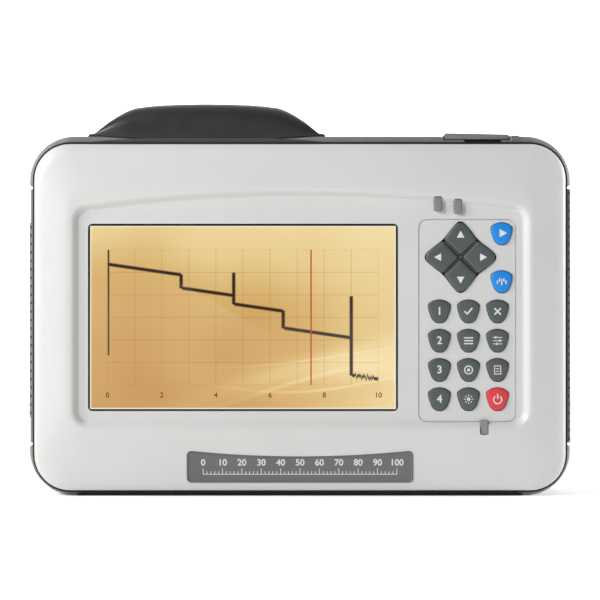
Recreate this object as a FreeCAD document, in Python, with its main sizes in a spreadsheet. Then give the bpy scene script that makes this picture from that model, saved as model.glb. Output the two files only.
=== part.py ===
import FreeCAD, Part
import os
import re
import Sketcher
from FreeCAD import Placement, Rotation, Vector

# A handheld optical time domain reflectometer, standing on its lower edge.
# X runs to the right of the front face, Y from the front (-) to the back (+), Z up.
# The origin is in the middle of the footprint, on the surface that it stands on.

DIMS = {
    # the whole case
    "body_wide": 253.0,
    "body_tall": 168.0,
    "body_deep": 73.6,
    "body_round": 21.0,
    "shell_wall": 4.0,
    "back_wall": 2.6,
    "guard_thick": 2.5,
    "guard_arm": 24.0,
    "guard_proud": 1.0,
    # white front cover
    "cover_wide": 247.4,
    "cover_tall": 161.2,
    "cover_foot": 2.8,
    "cover_round": 16.5,
    "cover_wall": 3.0,
    "cover_skin": 2.5,
    "crown_rise": 3.6,
    "crown_wide": 217.0,
    "crown_tall": 114.0,
    "crown_mid": 87.5,
    "crown_round": 12.0,
    "seam_front": 26.6,
    "seam_gap": 0.6,
    "recess_deep": 2.5,
    "recess_left": -103.0,
    "recess_right": 103.8,
    "recess_low": 35.0,
    "recess_high": 133.2,
    "recess_bow": 6.6,
    "recess_slope": 2.2,
    "recess_round": 5.0,
    # screen
    "screen_wide": 144.1,
    "screen_tall": 87.1,
    "screen_x": -26.5,
    "screen_z": 83.3,
    "screen_round": 2.0,
    "glass_thick": 1.4,
    "glass_lip": 2.2,
    "display_wide": 152.0,
    "display_tall": 96.0,
    "display_thick": 6.2,
    # keypad
    "pad_wide": 45.4,
    "pad_tall": 94.4,
    "pad_x": 77.7,
    "pad_z": 81.8,
    "pad_round": 4.0,
    "pad_sink": 0.5,
    "key_size": 10.9,
    "key_play": 0.35,
    "key_proud": 1.3,
    "key_travel": 1.0,
    "flange_more": 1.5,
    "flange_thick": 1.0,
    "plunger_round": 1.6,
    "plunger_deep": 0.7,
    "cap_soft": 0.4,
    "column_first": 64.8,
    "column_step": 13.5,
    "row_first": 86.1,
    "row_step": 13.6,
    "blue_size": 10.5,
    "blue_x": 93.7,
    "blue_mid": 111.05,
    "blue_half": 11.15,
    "arrows_x": 74.6,
    "arrows_z": 111.3,
    "arrows_half": 17.5,
    "arrows_gap": 0.9,
    "arrows_round": 2.0,
    "lens_wide": 4.0,
    "lens_tall": 6.9,
    # name plate on the lower slope of the cover
    "plate_wide": 105.2,
    "plate_tall": 14.9,
    "plate_dip": 2.6,
    "plate_z": 13.95,
    "plate_thick": 0.8,
    # side grips
    "grip_low": 24.7,
    "grip_high": 143.3,
    "grip_deep": 24.0,
    # top handle
    "handle_x": -43.65,
    "handle_half": 55.4,
    "handle_rise": 15.6,
    "handle_front": -25.0,
    "handle_deep": 41.0,
    "handle_wall": 5.0,
    "handle_soft": 2.5,
    "foot_thick": 1.3,
    "scoop_deep": 19.0,
    "scoop_half": 38.0,
    "scoop_front": 2.0,
    # optical ports under the top flap
    "well_x": 84.0,
    "well_y": 2.0,
    "well_wide": 28.0,
    "well_deep": 26.0,
    "well_drop": 18.0,
    "port_pitch": 14.0,
    "port_round": 4.2,
    "ferrule_bore": 1.25,
    "flap_left": 67.5,
    "flap_right": 97.5,
    "lip_low": 166.4,
    "lip_thick": 1.6,
    "flap_pivot": 100.2,
    "flap_sink": 1.0,
    "flap_thick": 1.1,
    "flap_lift": 0.3,
    "flap_plug": 0.9,
    "plug_wall": 1.2,
    "pivot_round": 1.6,
    "pivot_pin": 0.6,
    "pin_play": 0.05,
    # back: battery bay and stand
    "bay_wide": 114.0,
    "bay_tall": 50.0,
    "bay_z": 117.0,
    "bay_deep": 24.0,
    "lid_wide": 130.0,
    "lid_tall": 58.0,
    "lid_thick": 2.4,
    "stand_wide": 96.0,
    "stand_tall": 64.0,
    "stand_top": 78.0,
    "stand_thick": 3.6,
    "stand_rail": 13.0,
    "stand_pin": 1.0,
    # data ports in the left side
    "side_well_y": 14.0,
    "side_well_z": 84.0,
    "side_well_wide": 20.0,
    "side_well_tall": 50.0,
    "side_well_deep": 13.0,
    "side_lid_thick": 2.0,
    # inside
    "board_wide": 204.0,
    "board_tall": 122.0,
    "board_z": 82.0,
    "board_front": -15.0,
    "board_thick": 1.6,
    "module_wide": 104.0,
    "module_tall": 60.0,
    "module_deep": 18.0,
    "module_x": 44.0,
    "module_z": 58.0,
    "fibre_round": 0.9,
    "fibre_bend": 12.0,
    "screw_round": 1.5,
    "screw_head": 2.9,
    "screw_side": 112.0,
    "screw_low": 15.0,
    "screw_high": 152.0,
}

# Levels along Y, front to back, from the driving sizes.
FRONT = "-body_deep/2"
BACK = "body_deep/2-guard_proud"
COVER_BACK = "-seam_front"
SHELL_FRONT = "-seam_front+seam_gap"
FLOOR = "-body_deep/2+recess_deep"
PAD_FACE = "-body_deep/2+recess_deep+pad_sink"
COVER_INSIDE = "-body_deep/2+recess_deep+cover_skin"
KEY_STOP = COVER_INSIDE + "+0.1"
KEY_BACK = KEY_STOP + "+flange_thick+plunger_deep"
DOME_FRONT = KEY_BACK + "+key_travel+0.2"
DISPLAY_FRONT = COVER_INSIDE + "+0.2"
DISPLAY_BACK = DISPLAY_FRONT + "+display_thick"
FLAP_PIVOT = ("flap_pivot", "body_tall-flap_sink")

RADIAN = 3.141592653589793 / 180

doc = FreeCAD.newDocument("reflectometer")
sheet = doc.addObject("Spreadsheet::Sheet", "dims")
for row, (alias, number) in enumerate(DIMS.items(), 1):
    sheet.set(f"A{row}", alias)
    sheet.set(f"B{row}", str(number))
    sheet.setAlias(f"B{row}", alias)
doc.recompute()

nodes = {}


def full(words):
    """An expression for FreeCAD, with each of the sheet's names given its sheet."""
    return re.sub(r"[a-z_]+", lambda m: "dims." + m[0] if m[0] in DIMS else m[0], str(words))


def value(words):
    return float(sheet.evalExpression(full(words)))


def bind(thing, **sizes):
    for name, words in sizes.items():
        thing.setExpression(name.replace("__", "."), full(words))
    return thing


def keep(name, thing):
    """Name a finished sub-part, which becomes its file."""
    thing.Label = name
    nodes[name] = thing
    return thing


# ---- sketches -------------------------------------------------------------------------

SIGN = {"XZ_Plane": "-", "XY_Plane": "", "YZ_Plane": ""}


def new_body():
    return doc.addObject("PartDesign::Body", "Body")


def new_sketch(body, level, plane="XZ_Plane", centre=("0", "0"), turn=None):
    """A sketch on one of the body's origin planes, moved along the plane's axis to a level."""
    sketch = body.newObject("Sketcher::SketchObject", "Sketch")
    flat = next(f for f in body.Origin.OriginFeatures if f.Role == plane)
    sketch.AttachmentSupport = (flat, [""])
    sketch.MapMode = "FlatFace"
    if turn:
        axis, angle = turn
        sketch.AttachmentOffset = Placement(Vector(), Rotation(Vector(*axis), value(angle)))
        bind(sketch, AttachmentOffset__Rotation__Angle=angle)
    bind(
        sketch,
        AttachmentOffset__Base__x=centre[0],
        AttachmentOffset__Base__y=centre[1],
        AttachmentOffset__Base__z=f"{SIGN[plane]}({level})",
    )
    return sketch


def rounded(sketch, wide, tall, corner):
    """A rounded rectangle about the sketch's origin, bound to its width, height and corner."""
    x, y, r = value(wide) / 2, value(tall) / 2, value(corner)
    corners = [(x - r, y - r, 0), (r - x, y - r, 90), (r - x, r - y, 180), (x - r, r - y, 270)]
    for cx, cy, start in corners:
        circle = Part.Circle(Vector(cx, cy, 0), Vector(0, 0, 1), r)
        sketch.addGeometry(Part.ArcOfCircle(circle, start * RADIAN, (start + 90) * RADIAN))
    for i in range(4):
        a = sketch.Geometry[i].EndPoint
        b = sketch.Geometry[(i + 1) % 4].StartPoint
        sketch.addGeometry(Part.LineSegment(a, b))
    for i in range(4):
        sketch.addConstraint(Sketcher.Constraint("Tangent", i, 2, 4 + i, 1))
        sketch.addConstraint(Sketcher.Constraint("Tangent", 4 + i, 2, (i + 1) % 4, 1))
    for i in (0, 2):
        sketch.addConstraint(Sketcher.Constraint("Horizontal", 4 + i))
        sketch.addConstraint(Sketcher.Constraint("Vertical", 5 + i))
    for i in (1, 2, 3):
        sketch.addConstraint(Sketcher.Constraint("Equal", 0, i))
    held = [
        (Sketcher.Constraint("Radius", 0, r), corner),
        (Sketcher.Constraint("DistanceX", -1, 1, 7, 1, x), f"({wide})/2"),
        (Sketcher.Constraint("DistanceX", -1, 1, 5, 1, -x), f"-({wide})/2"),
        (Sketcher.Constraint("DistanceY", -1, 1, 4, 1, y), f"({tall})/2"),
        (Sketcher.Constraint("DistanceY", -1, 1, 6, 1, -y), f"-({tall})/2"),
    ]
    for constraint, words in held:
        number = sketch.addConstraint(constraint)
        sketch.setExpression(f"Constraints[{number}]", full(words))
    return sketch


def outline(sketch, points):
    """A closed outline of corners (x, y), or (x, y, rise) where the stretch that follows is an
    arc which stands out by rise to the right of the way. Corners are bound to their words."""
    spots = [Vector(value(p[0]), value(p[1]), 0) for p in points]
    ends = []
    for i, point in enumerate(points):
        a, b = spots[i], spots[(i + 1) % len(spots)]
        if len(point) == 2:
            sketch.addGeometry(Part.LineSegment(a, b))
            ends.append((1, 2))
        else:
            way, rise = b - a, value(point[2])
            middle = (a + b) / 2 + Vector(way.y, -way.x, 0).normalize() * rise
            first, last = (a, b) if rise > 0 else (b, a)
            sketch.addGeometry(Part.Arc(first, middle, last))
            ends.append((1, 2) if rise > 0 else (2, 1))
    for i, point in enumerate(points):
        after = (i + 1) % len(points)
        sketch.addConstraint(Sketcher.Constraint("Coincident", i, ends[i][1], after, ends[after][0]))
    for i, point in enumerate(points):
        for kind, words in (("DistanceX", point[0]), ("DistanceY", point[1])):
            held = Sketcher.Constraint(kind, -1, 1, i, ends[i][0], value(words))
            number = sketch.addConstraint(held)
            sketch.setExpression(f"Constraints[{number}]", full(words))
        if len(point) == 3:
            number = sketch.addConstraint(Sketcher.Constraint("Radius", i, sketch.Geometry[i].Radius))
    return sketch


def circles(sketch, spots, radius):
    """Round outlines of one radius at several places."""
    for i, (x, y) in enumerate(spots):
        circle = Part.Circle(Vector(value(x), value(y), 0), Vector(0, 0, 1), value(radius))
        sketch.addGeometry(circle)
        held = [
            (Sketcher.Constraint("Radius", i, value(radius)), radius),
            (Sketcher.Constraint("DistanceX", -1, 1, i, 3, value(x)), x),
            (Sketcher.Constraint("DistanceY", -1, 1, i, 3, value(y)), y),
        ]
        for constraint, words in held:
            number = sketch.addConstraint(constraint)
            sketch.setExpression(f"Constraints[{number}]", full(words))
    return sketch


def grow(body, sketch, length, reverse=False):
    """Add material in front of a sketch on the XZ plane, above one on XY, to +X of one on YZ."""
    pad = body.newObject("PartDesign::Pad", "Pad")
    pad.Profile = sketch
    pad.Reversed = reverse
    bind(pad, Length=length)
    sketch.Visibility = False
    return pad


def cut(body, sketch, length, reverse=False):
    """Take material away on the other side of the sketch."""
    pocket = body.newObject("PartDesign::Pocket", "Pocket")
    pocket.Profile = sketch
    pocket.Reversed = reverse
    bind(pocket, Length=length)
    return pocket


def soften(body, radius, chosen, kind="Fillet"):
    """Round, or bevel, the edges of the body's newest feature that the test accepts."""
    doc.recompute()
    base = body.Tip
    names = [f"Edge{i}" for i, edge in enumerate(base.Shape.Edges, 1) if chosen(edge.BoundBox)]
    if not names:
        raise SystemExit(f"no edge to soften on {body.Name}")
    done = body.newObject("PartDesign::" + kind, kind)
    done.Base = (base, names)
    bind(done, **{"Radius" if kind == "Fillet" else "Size": radius})
    return done


def close(a, b):
    return abs(a - b) < 0.02


# ---- primitives -----------------------------------------------------------------------

ALONG = {
    "x": Rotation(Vector(0, 1, 0), 90),
    "y": Rotation(Vector(1, 0, 0), -90),
    "z": Rotation(),
}


def place(thing, at, rotation=None):
    thing.Placement = Placement(Vector(), rotation or Rotation())
    return bind(thing, Placement__Base__x=at[0], Placement__Base__y=at[1], Placement__Base__z=at[2])


def block(size, low):
    """A box of a width, depth and height from its lowest corner."""
    box = bind(doc.addObject("Part::Box", "Box"), Length=size[0], Width=size[1], Height=size[2])
    return place(box, low)


def rod(radius, length, base, along="z"):
    cylinder = bind(doc.addObject("Part::Cylinder", "Rod"), Radius=radius, Height=length)
    return place(cylinder, base, ALONG[along])


def fuse(*things):
    joined = doc.addObject("Part::MultiFuse", "Fuse")
    joined.Shapes = list(things)
    return joined


def carve(base, *tools):
    left = doc.addObject("Part::Cut", "Cut")
    left.Base = base
    left.Tool = tools[0] if len(tools) == 1 else fuse(*tools)
    return left


def both(one, other):
    shared = doc.addObject("Part::Common", "Common")
    shared.Base = one
    shared.Tool = other
    return shared


def group(*things):
    """Separate solids in one node."""
    held = doc.addObject("Part::Compound", "Group")
    held.Links = list(things)
    return held


def plate(size, corner, centre, front):
    """A rounded plate that faces the front: width, height and thickness, centre in X and Z."""
    body = new_body()
    sketch = rounded(new_sketch(body, front, centre=centre), size[0], size[1], corner)
    grow(body, sketch, size[2], reverse=True)
    return body


# ---- key outlines ---------------------------------------------------------------------


def shield(sketch, size, more="0"):
    """A key's outline: a wide bowed top, sides that draw in, and a narrow rounded foot."""
    half = f"({size}/2+{more})"
    points = [
        (f"-0.80*{half}", f"0.80*{half}"),
        (f"-0.97*{half}", f"0.55*{half}"),
        (f"-0.40*{half}", f"-0.88*{half}"),
        (f"0.40*{half}", f"-0.88*{half}"),
        (f"0.97*{half}", f"0.55*{half}"),
        (f"0.80*{half}", f"0.80*{half}"),
    ]
    rises = [0.05, 0.12, 0.12, 0.12, 0.05, 0.20]
    return outline(sketch, [(x, y, f"{rise}*{half}") for (x, y), rise in zip(points, rises)])


KEYS = {}
for line in range(4):
    for column in range(3):
        KEYS[f"grid_key_{line + 1}{'abc'[column]}"] = (
            f"column_first+{column}*column_step",
            f"row_first-{line}*row_step",
            "key_size",
        )
KEYS["start_key"] = ("blue_x", "blue_mid+blue_half", "blue_size")
KEYS["live_key"] = ("blue_x", "blue_mid-blue_half", "blue_size")

LENSES = [("64.1", "136.1"), ("73.3", "134.9"), ("85.5", "32.2")]

# Each arrow key is a small square stood on its corner, one quarter of a diamond.
ARROWS = {"up": (0, 1), "right": (1, 0), "down": (0, -1), "left": (-1, 0)}
ARROW_SIDE = "(arrows_half*0.70711-arrows_gap/2)"


# ---- front cover ----------------------------------------------------------------------


def cover_middle():
    return "cover_foot+cover_tall/2"


def recess_outline(sketch, more="0"):
    """The sunk field's outline: three straight sides and a bowed upper one."""
    left, right = f"(recess_left-({more}))", f"(recess_right+{more})"
    low, high = f"(recess_low-({more}))", f"(recess_high+{more})"
    corner = "recess_round"
    points = [
        (f"{left}+{corner}", low),
        (f"{right}-{corner}", low, "1.464"),
        (right, f"{low}+{corner}"),
        (right, f"{high}-{corner}", "1.3"),
        (f"{right}-{corner}", high, "recess_bow"),
        (f"{left}+{corner}", high, "1.3"),
        (left, f"{high}-{corner}"),
        (left, f"{low}+{corner}", "1.464"),
    ]
    return outline(sketch, points)


PLATE_TILT = "atan(crown_rise/(crown_mid-crown_tall/2-cover_foot))"


def name_plate_sketch(body, more="0", sink="0"):
    """The plate's outline, laid on the cover's lower slope: its upper edge dips in the middle."""
    level = f"-body_deep/2+crown_rise*(crown_mid-crown_tall/2-plate_z)/(crown_mid-crown_tall/2-cover_foot)+{sink}"
    sketch = new_sketch(body, level, centre=("0", "plate_z"), turn=((1, 0, 0), PLATE_TILT))
    half, tall = f"(plate_wide/2+{more})", f"(plate_tall/2+{more})"
    points = [
        (f"2-{half}", f"-{tall}"),
        (f"{half}-2", f"-{tall}", "0.586"),
        (half, f"2-{tall}"),
        (half, f"{tall}-2", "0.586"),
        (f"{half}-2", tall, "-plate_dip"),
        (f"2-{half}", tall, "0.586"),
        (f"-{half}", f"{tall}-2"),
        (f"-{half}", f"2-{tall}", "0.586"),
    ]
    return outline(sketch, points)


def front_cover():
    """A crowned shell with a sunk field for the screen and keys."""
    body = new_body()
    middle = ("0", cover_middle())
    rim = rounded(new_sketch(body, COVER_BACK, centre=middle), "cover_wide", "cover_tall", "cover_round")
    grow(body, rim, "body_deep/2-crown_rise-seam_front")
    edge = rounded(
        new_sketch(body, "-body_deep/2+crown_rise", centre=middle), "cover_wide", "cover_tall", "cover_round"
    )
    crown = rounded(
        new_sketch(body, FRONT, centre=("0", "crown_mid")), "crown_wide", "crown_tall", "crown_round"
    )
    rise = body.newObject("PartDesign::AdditiveLoft", "Loft")
    rise.Profile = edge
    rise.Sections = [crown]
    rise.Ruled = True
    sink = body.newObject("PartDesign::SubtractiveLoft", "Sink")
    sink.Profile = recess_outline(new_sketch(body, FRONT), "recess_slope")
    sink.Sections = [recess_outline(new_sketch(body, FLOOR))]
    sink.Ruled = True
    hollow = new_sketch(body, COVER_BACK, centre=middle)
    rounded(hollow, "cover_wide-2*cover_wall", "cover_tall-2*cover_wall", "cover_round-cover_wall")
    cut(body, hollow, "body_deep/2-seam_front-recess_deep-cover_skin", reverse=True)
    centre = ("screen_x", "screen_z")
    seat = rounded(new_sketch(body, FLOOR, centre=centre), "screen_wide", "screen_tall", "screen_round")
    cut(body, seat, "glass_thick+0.1")
    sight = rounded(
        new_sketch(body, FLOOR, centre=centre), "screen_wide-2*glass_lip", "screen_tall-2*glass_lip", "1"
    )
    cut(body, sight, "cover_skin+1")
    field = rounded(new_sketch(body, FLOOR, centre=("pad_x", "pad_z")), "pad_wide", "pad_tall", "pad_round")
    cut(body, field, "pad_sink")
    for x, z, size in KEYS.values():
        cut(body, shield(new_sketch(body, FLOOR, centre=(x, z)), size, "key_play"), "cover_skin+1")
    diamond = new_sketch(body, FLOOR, centre=("arrows_x", "arrows_z"), turn=((0, 0, 1), "45"))
    side = "2*(arrows_half*0.70711+key_play)"
    cut(body, rounded(diamond, side, side, "arrows_round+key_play"), "cover_skin+1")
    for x, z in LENSES:
        slot = rounded(new_sketch(body, FRONT, centre=(x, z)), "lens_wide", "lens_tall", "1")
        cut(body, slot, "recess_deep+cover_skin+1")
    cut(body, name_plate_sketch(body), "plate_thick")
    boss = circles(new_sketch(body, COVER_INSIDE), screw_spots(), "screw_round+2.5")
    grow(body, boss, f"({COVER_BACK})-({COVER_INSIDE})", reverse=True)
    hole = circles(new_sketch(body, COVER_BACK), screw_spots(), "screw_round")
    cut(body, hole, "4", reverse=True)
    return keep("front_cover", body)


def screw_spots():
    return [(side + "screw_side", z) for side in ("-", "") for z in ("screw_low", "screw_high")]


# ---- screen, keys and what is behind them ----------------------------------------------


def screen_parts():
    centre = ("screen_x", "screen_z")
    slack = "0.3"
    size = (f"screen_wide-{slack}", f"screen_tall-{slack}", "glass_thick")
    keep("screen_window", plate(size, "screen_round-0.15", centre, FLOOR + "+0.1"))
    size = ("display_wide", "display_tall", "display_thick")
    keep("display_module", plate(size, "1", centre, DISPLAY_FRONT))
    size = ("display_wide+4", "display_tall+4", "1")
    bracket = plate(size, "2", centre, DISPLAY_BACK)
    window = rounded(
        new_sketch(bracket, DISPLAY_BACK, centre=centre),
        "display_wide-40",
        "display_tall-40",
        "6",
    )
    cut(bracket, window, "2")
    keep("display_bracket", bracket)


def key(name, x, z, size):
    """A cap that stands through its hole, a flange that stops behind it, and a plunger."""
    body = new_body()
    cap = shield(new_sketch(body, KEY_STOP, centre=(x, z)), size)
    grow(body, cap, f"({KEY_STOP})-({PAD_FACE})+key_proud")
    face = value(PAD_FACE) - value("key_proud")
    soften(body, "cap_soft", lambda b: close(b.YMin, face) and close(b.YMax, face))
    flange = shield(new_sketch(body, KEY_STOP, centre=(x, z)), size, "flange_more/2")
    grow(body, flange, "flange_thick", reverse=True)
    foot = circles(new_sketch(body, KEY_STOP + "+flange_thick"), [(x, z)], "plunger_round")
    grow(body, foot, "plunger_deep", reverse=True)
    return keep(name, body)


def arrow_key(name, way):
    body = new_body()
    shift = f"({ARROW_SIDE}/2+arrows_gap/2)*1.41421"
    centre = (f"arrows_x+{way[0]}*{shift}", f"arrows_z+{way[1]}*{shift}")
    turn = ((0, 0, 1), "45")
    cap = new_sketch(body, KEY_STOP, centre=centre, turn=turn)
    cap = rounded(cap, ARROW_SIDE, ARROW_SIDE, "arrows_round")
    grow(body, cap, f"({KEY_STOP})-({PAD_FACE})+key_proud")
    face = value(PAD_FACE) - value("key_proud")
    soften(body, "cap_soft", lambda b: close(b.YMin, face) and close(b.YMax, face))
    out = "flange_more/2*0.70711"
    centre = (f"{centre[0]}+{way[0]}*{out}", f"{centre[1]}+{way[1]}*{out}")
    side = f"{ARROW_SIDE}+flange_more/2"
    flange = new_sketch(body, KEY_STOP, centre=centre, turn=turn)
    flange = rounded(flange, side, side, "arrows_round")
    grow(body, flange, "flange_thick", reverse=True)
    foot = circles(new_sketch(body, KEY_STOP + "+flange_thick"), [centre], "plunger_round")
    grow(body, foot, "plunger_deep", reverse=True)
    keep(name, body)
    return centre


def key_parts():
    feet = []
    for name, (x, z, size) in KEYS.items():
        key(name, x, z, size)
        feet.append((x, z))
    for word, way in ARROWS.items():
        feet.append(arrow_key(f"arrow_{word}", way))
    size = ("50", "98", "1.2")
    keep("keypad_board", plate(size, "2", ("pad_x+0.3", "pad_z+0.2"), DOME_FRONT + "+0.5"))
    domes = []
    for x, z in feet:
        dome = rod("2.5", "0.25", (x, DOME_FRONT + "+0.25", z), "y")
        cap = rod("plunger_round", "0.25", (x, DOME_FRONT, z), "y")
        domes.append(fuse(dome, cap))
    keep("key_domes", group(*domes))


def lens_parts():
    lenses = []
    for x, z in LENSES:
        size = ("lens_wide-0.1", "lens_tall-0.1", "recess_deep+cover_skin+0.2")
        lenses.append(plate(size, "0.95", (x, z), FRONT + "+0.7"))
    keep("indicator_lenses", group(*lenses))


def name_plate():
    body = new_body()
    grow(body, name_plate_sketch(body, more="-0.1", sink="0.1"), "plate_thick-0.1", reverse=True)
    keep("name_plate", body)


# ---- rear shell, corner guards and grips ------------------------------------------------


def ring_body(wide, tall, corner, front, length):
    body = new_body()
    sketch = rounded(new_sketch(body, front, centre=("0", "body_tall/2")), wide, tall, corner)
    grow(body, sketch, length, reverse=True)
    return body


CORNERS = {
    "top_left": (-1, 1),
    "top_right": (1, 1),
    "bottom_left": (-1, -1),
    "bottom_right": (1, -1),
}


def corner_guards():
    """Rubber caps that wrap the four corners over the whole depth of the shell."""
    made = []
    for word, (side, up) in CORNERS.items():
        whole = ring_body("body_wide", "body_tall", "body_round", SHELL_FRONT, "body_deep/2+seam_front-seam_gap")
        first, last = value(SHELL_FRONT), value("body_deep/2")
        soften(whole, "3", lambda b: close(b.YMin, b.YMax) and (close(b.YMin, first) or close(b.YMin, last)))
        inner = ring_body(
            "body_wide-2*guard_thick",
            "body_tall-2*guard_thick",
            "body_round-guard_thick",
            SHELL_FRONT + "-1",
            "body_deep+10",
        )
        arm = "guard_arm"
        low_x = "-body_wide/2" if side < 0 else f"body_wide/2-{arm}"
        low_z = "0" if up < 0 else f"body_tall-{arm}+1"
        tall = f"{arm}-1"
        corner = block((arm, "body_deep", tall), (low_x, FRONT, low_z))
        made.append(keep(f"corner_guard_{word}", both(carve(whole, inner), corner)))
    return made


def rear_shell(guards):
    """The deep shell behind the front cover, with every well that opens in it."""
    body = new_body()
    middle = ("0", "body_tall/2")
    wide = "body_wide-2*guard_thick"
    depth = f"({BACK})-({SHELL_FRONT})"
    outer = rounded(new_sketch(body, SHELL_FRONT, centre=middle), wide, "body_tall", "body_round-1")
    grow(body, outer, depth, reverse=True)
    first, last = value(SHELL_FRONT), value(BACK)
    soften(body, "2.5", lambda b: close(b.YMin, b.YMax) and (close(b.YMin, first) or close(b.YMin, last)))
    hollow = new_sketch(body, SHELL_FRONT, centre=middle)
    rounded(hollow, wide + "-2*shell_wall", "body_tall-2*shell_wall", "body_round-1-shell_wall")
    cut(body, hollow, depth + "-back_wall")

    inside = f"({BACK})-back_wall"
    # solid ground behind each well of the back
    bay = ("0", "bay_z")
    ground = new_sketch(body, f"({BACK})-bay_deep-2", centre=bay)
    grow(body, rounded(ground, "lid_wide+6", "lid_tall+6", "3"), "bay_deep", reverse=True)
    ground = new_sketch(body, f"({BACK})-7", centre=("0", "stand_top-stand_tall/2"))
    grow(body, rounded(ground, "stand_wide+14", "stand_tall+14", "3"), "5", reverse=True)
    scoop = new_sketch(body, "scoop_front-2.5", centre=("handle_x", "body_tall-3-scoop_deep/2"))
    ground = rounded(scoop, "2*scoop_half+5", "scoop_deep+2", "3")
    grow(body, ground, f"{inside}-(scoop_front-2.5)+0.5", reverse=True)
    bosses = circles(new_sketch(body, SHELL_FRONT), screw_spots(), "screw_head+2")
    grow(body, bosses, f"{depth}-2", reverse=True)
    # solid ground round the optical ports and the side ports
    ground = new_sketch(body, "body_tall-3", "XY_Plane", ("well_x", "well_y"))
    ground = rounded(ground, "well_wide+6", "well_deep+6", "2")
    grow(body, ground, "well_drop-1", reverse=True)
    ground = new_sketch(body, "-body_wide/2+guard_thick+3", "YZ_Plane", ("side_well_y", "side_well_z"))
    grow(body, rounded(ground, "side_well_wide+6", "side_well_tall+6", "2"), "side_well_deep-1")

    # battery bay and the seat of its lid
    cut(body, rounded(new_sketch(body, BACK, centre=bay), "bay_wide", "bay_tall", "2"), "bay_deep", reverse=True)
    seat = rounded(new_sketch(body, BACK, centre=bay), "lid_wide+0.4", "lid_tall+0.4", "3.2")
    cut(body, seat, "lid_thick", reverse=True)
    cut(body, circles(new_sketch(body, BACK), lid_screws(), "1.25"), "10", reverse=True)
    # pocket of the stand, with the holes for its pin
    pocket = new_sketch(body, BACK, centre=("0", "stand_top-stand_tall/2+1"))
    cut(body, rounded(pocket, "stand_wide+1", "stand_tall+4", "2"), "5", reverse=True)
    pin = new_sketch(body, "-stand_wide/2-4", "YZ_Plane")
    pin = circles(pin, [(f"{BACK}-2.5", "stand_top")], "stand_pin")
    cut(body, pin, "stand_wide+8", reverse=True)
    # finger scoop behind the handle, open at the top and the back
    scoop = new_sketch(body, "scoop_front", centre=("handle_x", "body_tall-scoop_deep/2+4"))
    rounded(scoop, "2*scoop_half", "scoop_deep+8", "6")
    cut(body, scoop, "body_deep")
    # well of the optical ports
    well = new_sketch(body, "body_tall", "XY_Plane", ("well_x", "well_y"))
    cut(body, rounded(well, "well_wide", "well_deep", "2"), "well_drop")
    cut(body, circles(new_sketch(body, "body_tall-well_drop", "XY_Plane"), port_spots(), "port_round"), "4")
    # step for the flap's front lip, and a slit below it for a fingernail
    step = new_sketch(body, SHELL_FRONT, centre=("(flap_left+flap_right)/2", "body_tall"))
    rounded(step, "flap_right-flap_left+0.9", "2*(body_tall-lip_low+0.3)", "0.4")
    cut(body, step, "lip_thick+0.5")
    slit = rounded(new_sketch(body, SHELL_FRONT, centre=("85.4", "lip_low-0.2")), "17.6", "2", "0.9")
    cut(body, slit, "lip_thick+0.5")
    # slot for the barrel of the flap
    slot = new_sketch(body, "body_tall", "XY_Plane", ("flap_pivot+0.15", "well_y"))
    cut(body, rounded(slot, "4.3", "well_deep+4", "0.5"), "3")
    pin = circles(new_sketch(body, "well_y-well_deep/2-4"), [FLAP_PIVOT], "pivot_pin")
    cut(body, pin, "well_deep+8")
    # well of the side ports
    left = "-body_wide/2+guard_thick"
    well = new_sketch(body, left, "YZ_Plane", ("side_well_y", "side_well_z"))
    cut(body, rounded(well, "side_well_wide", "side_well_tall", "2"), "side_well_deep", reverse=True)
    seat = new_sketch(body, left, "YZ_Plane", ("side_well_y+1", "side_well_z"))
    cut(body, rounded(seat, "side_well_wide+4", "side_well_tall+3", "2"), "side_lid_thick+0.2", reverse=True)
    slot = new_sketch(body, left, "YZ_Plane", ("side_well_y+13.2", "side_well_z"))
    cut(body, rounded(slot, "3.6", "side_well_tall+3.4", "0.5"), "3.2", reverse=True)
    pin = new_sketch(body, "side_well_z-side_well_tall/2-4.5", "XY_Plane")
    pin = circles(pin, [(f"{left}+1.5", "side_well_y+13.2")], "pivot_pin")
    cut(body, pin, "side_well_tall+9", reverse=True)
    # case screws
    cut(body, circles(new_sketch(body, BACK), screw_spots(), "screw_head+0.3"), "40", reverse=True)
    cut(body, circles(new_sketch(body, BACK), screw_spots(), "screw_round+0.2"), "body_deep", reverse=True)
    # holes for the handle's screws
    cut(body, circles(new_sketch(body, "body_tall", "XY_Plane"), handle_screw_spots(), "1.25"), "3")
    keep("rear_shell", carve(body, *guards))


def lid_screws():
    return [("-61", "bay_z-18"), ("61", "bay_z-18")]


def port_spots():
    return [("well_x-port_pitch/2", "well_y"), ("well_x+port_pitch/2", "well_y")]


def handle_screw_spots():
    middle = "handle_front+handle_deep/2"
    reach = "(handle_half-2.9)"
    return [(f"handle_x{side}{reach}", f"{middle}{step}") for side in "-+" for step in ("-9", "+9")]


def case_gasket():
    middle = ("0", cover_middle())
    body = new_body()
    outer = rounded(new_sketch(body, COVER_BACK, centre=middle), "cover_wide-1", "cover_tall-1", "cover_round-0.5")
    grow(body, outer, "seam_gap", reverse=True)
    inner = rounded(new_sketch(body, COVER_BACK, centre=middle), "cover_wide-5", "cover_tall-5", "cover_round-2.5")
    cut(body, inner, "2")
    keep("case_gasket", body)


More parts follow.
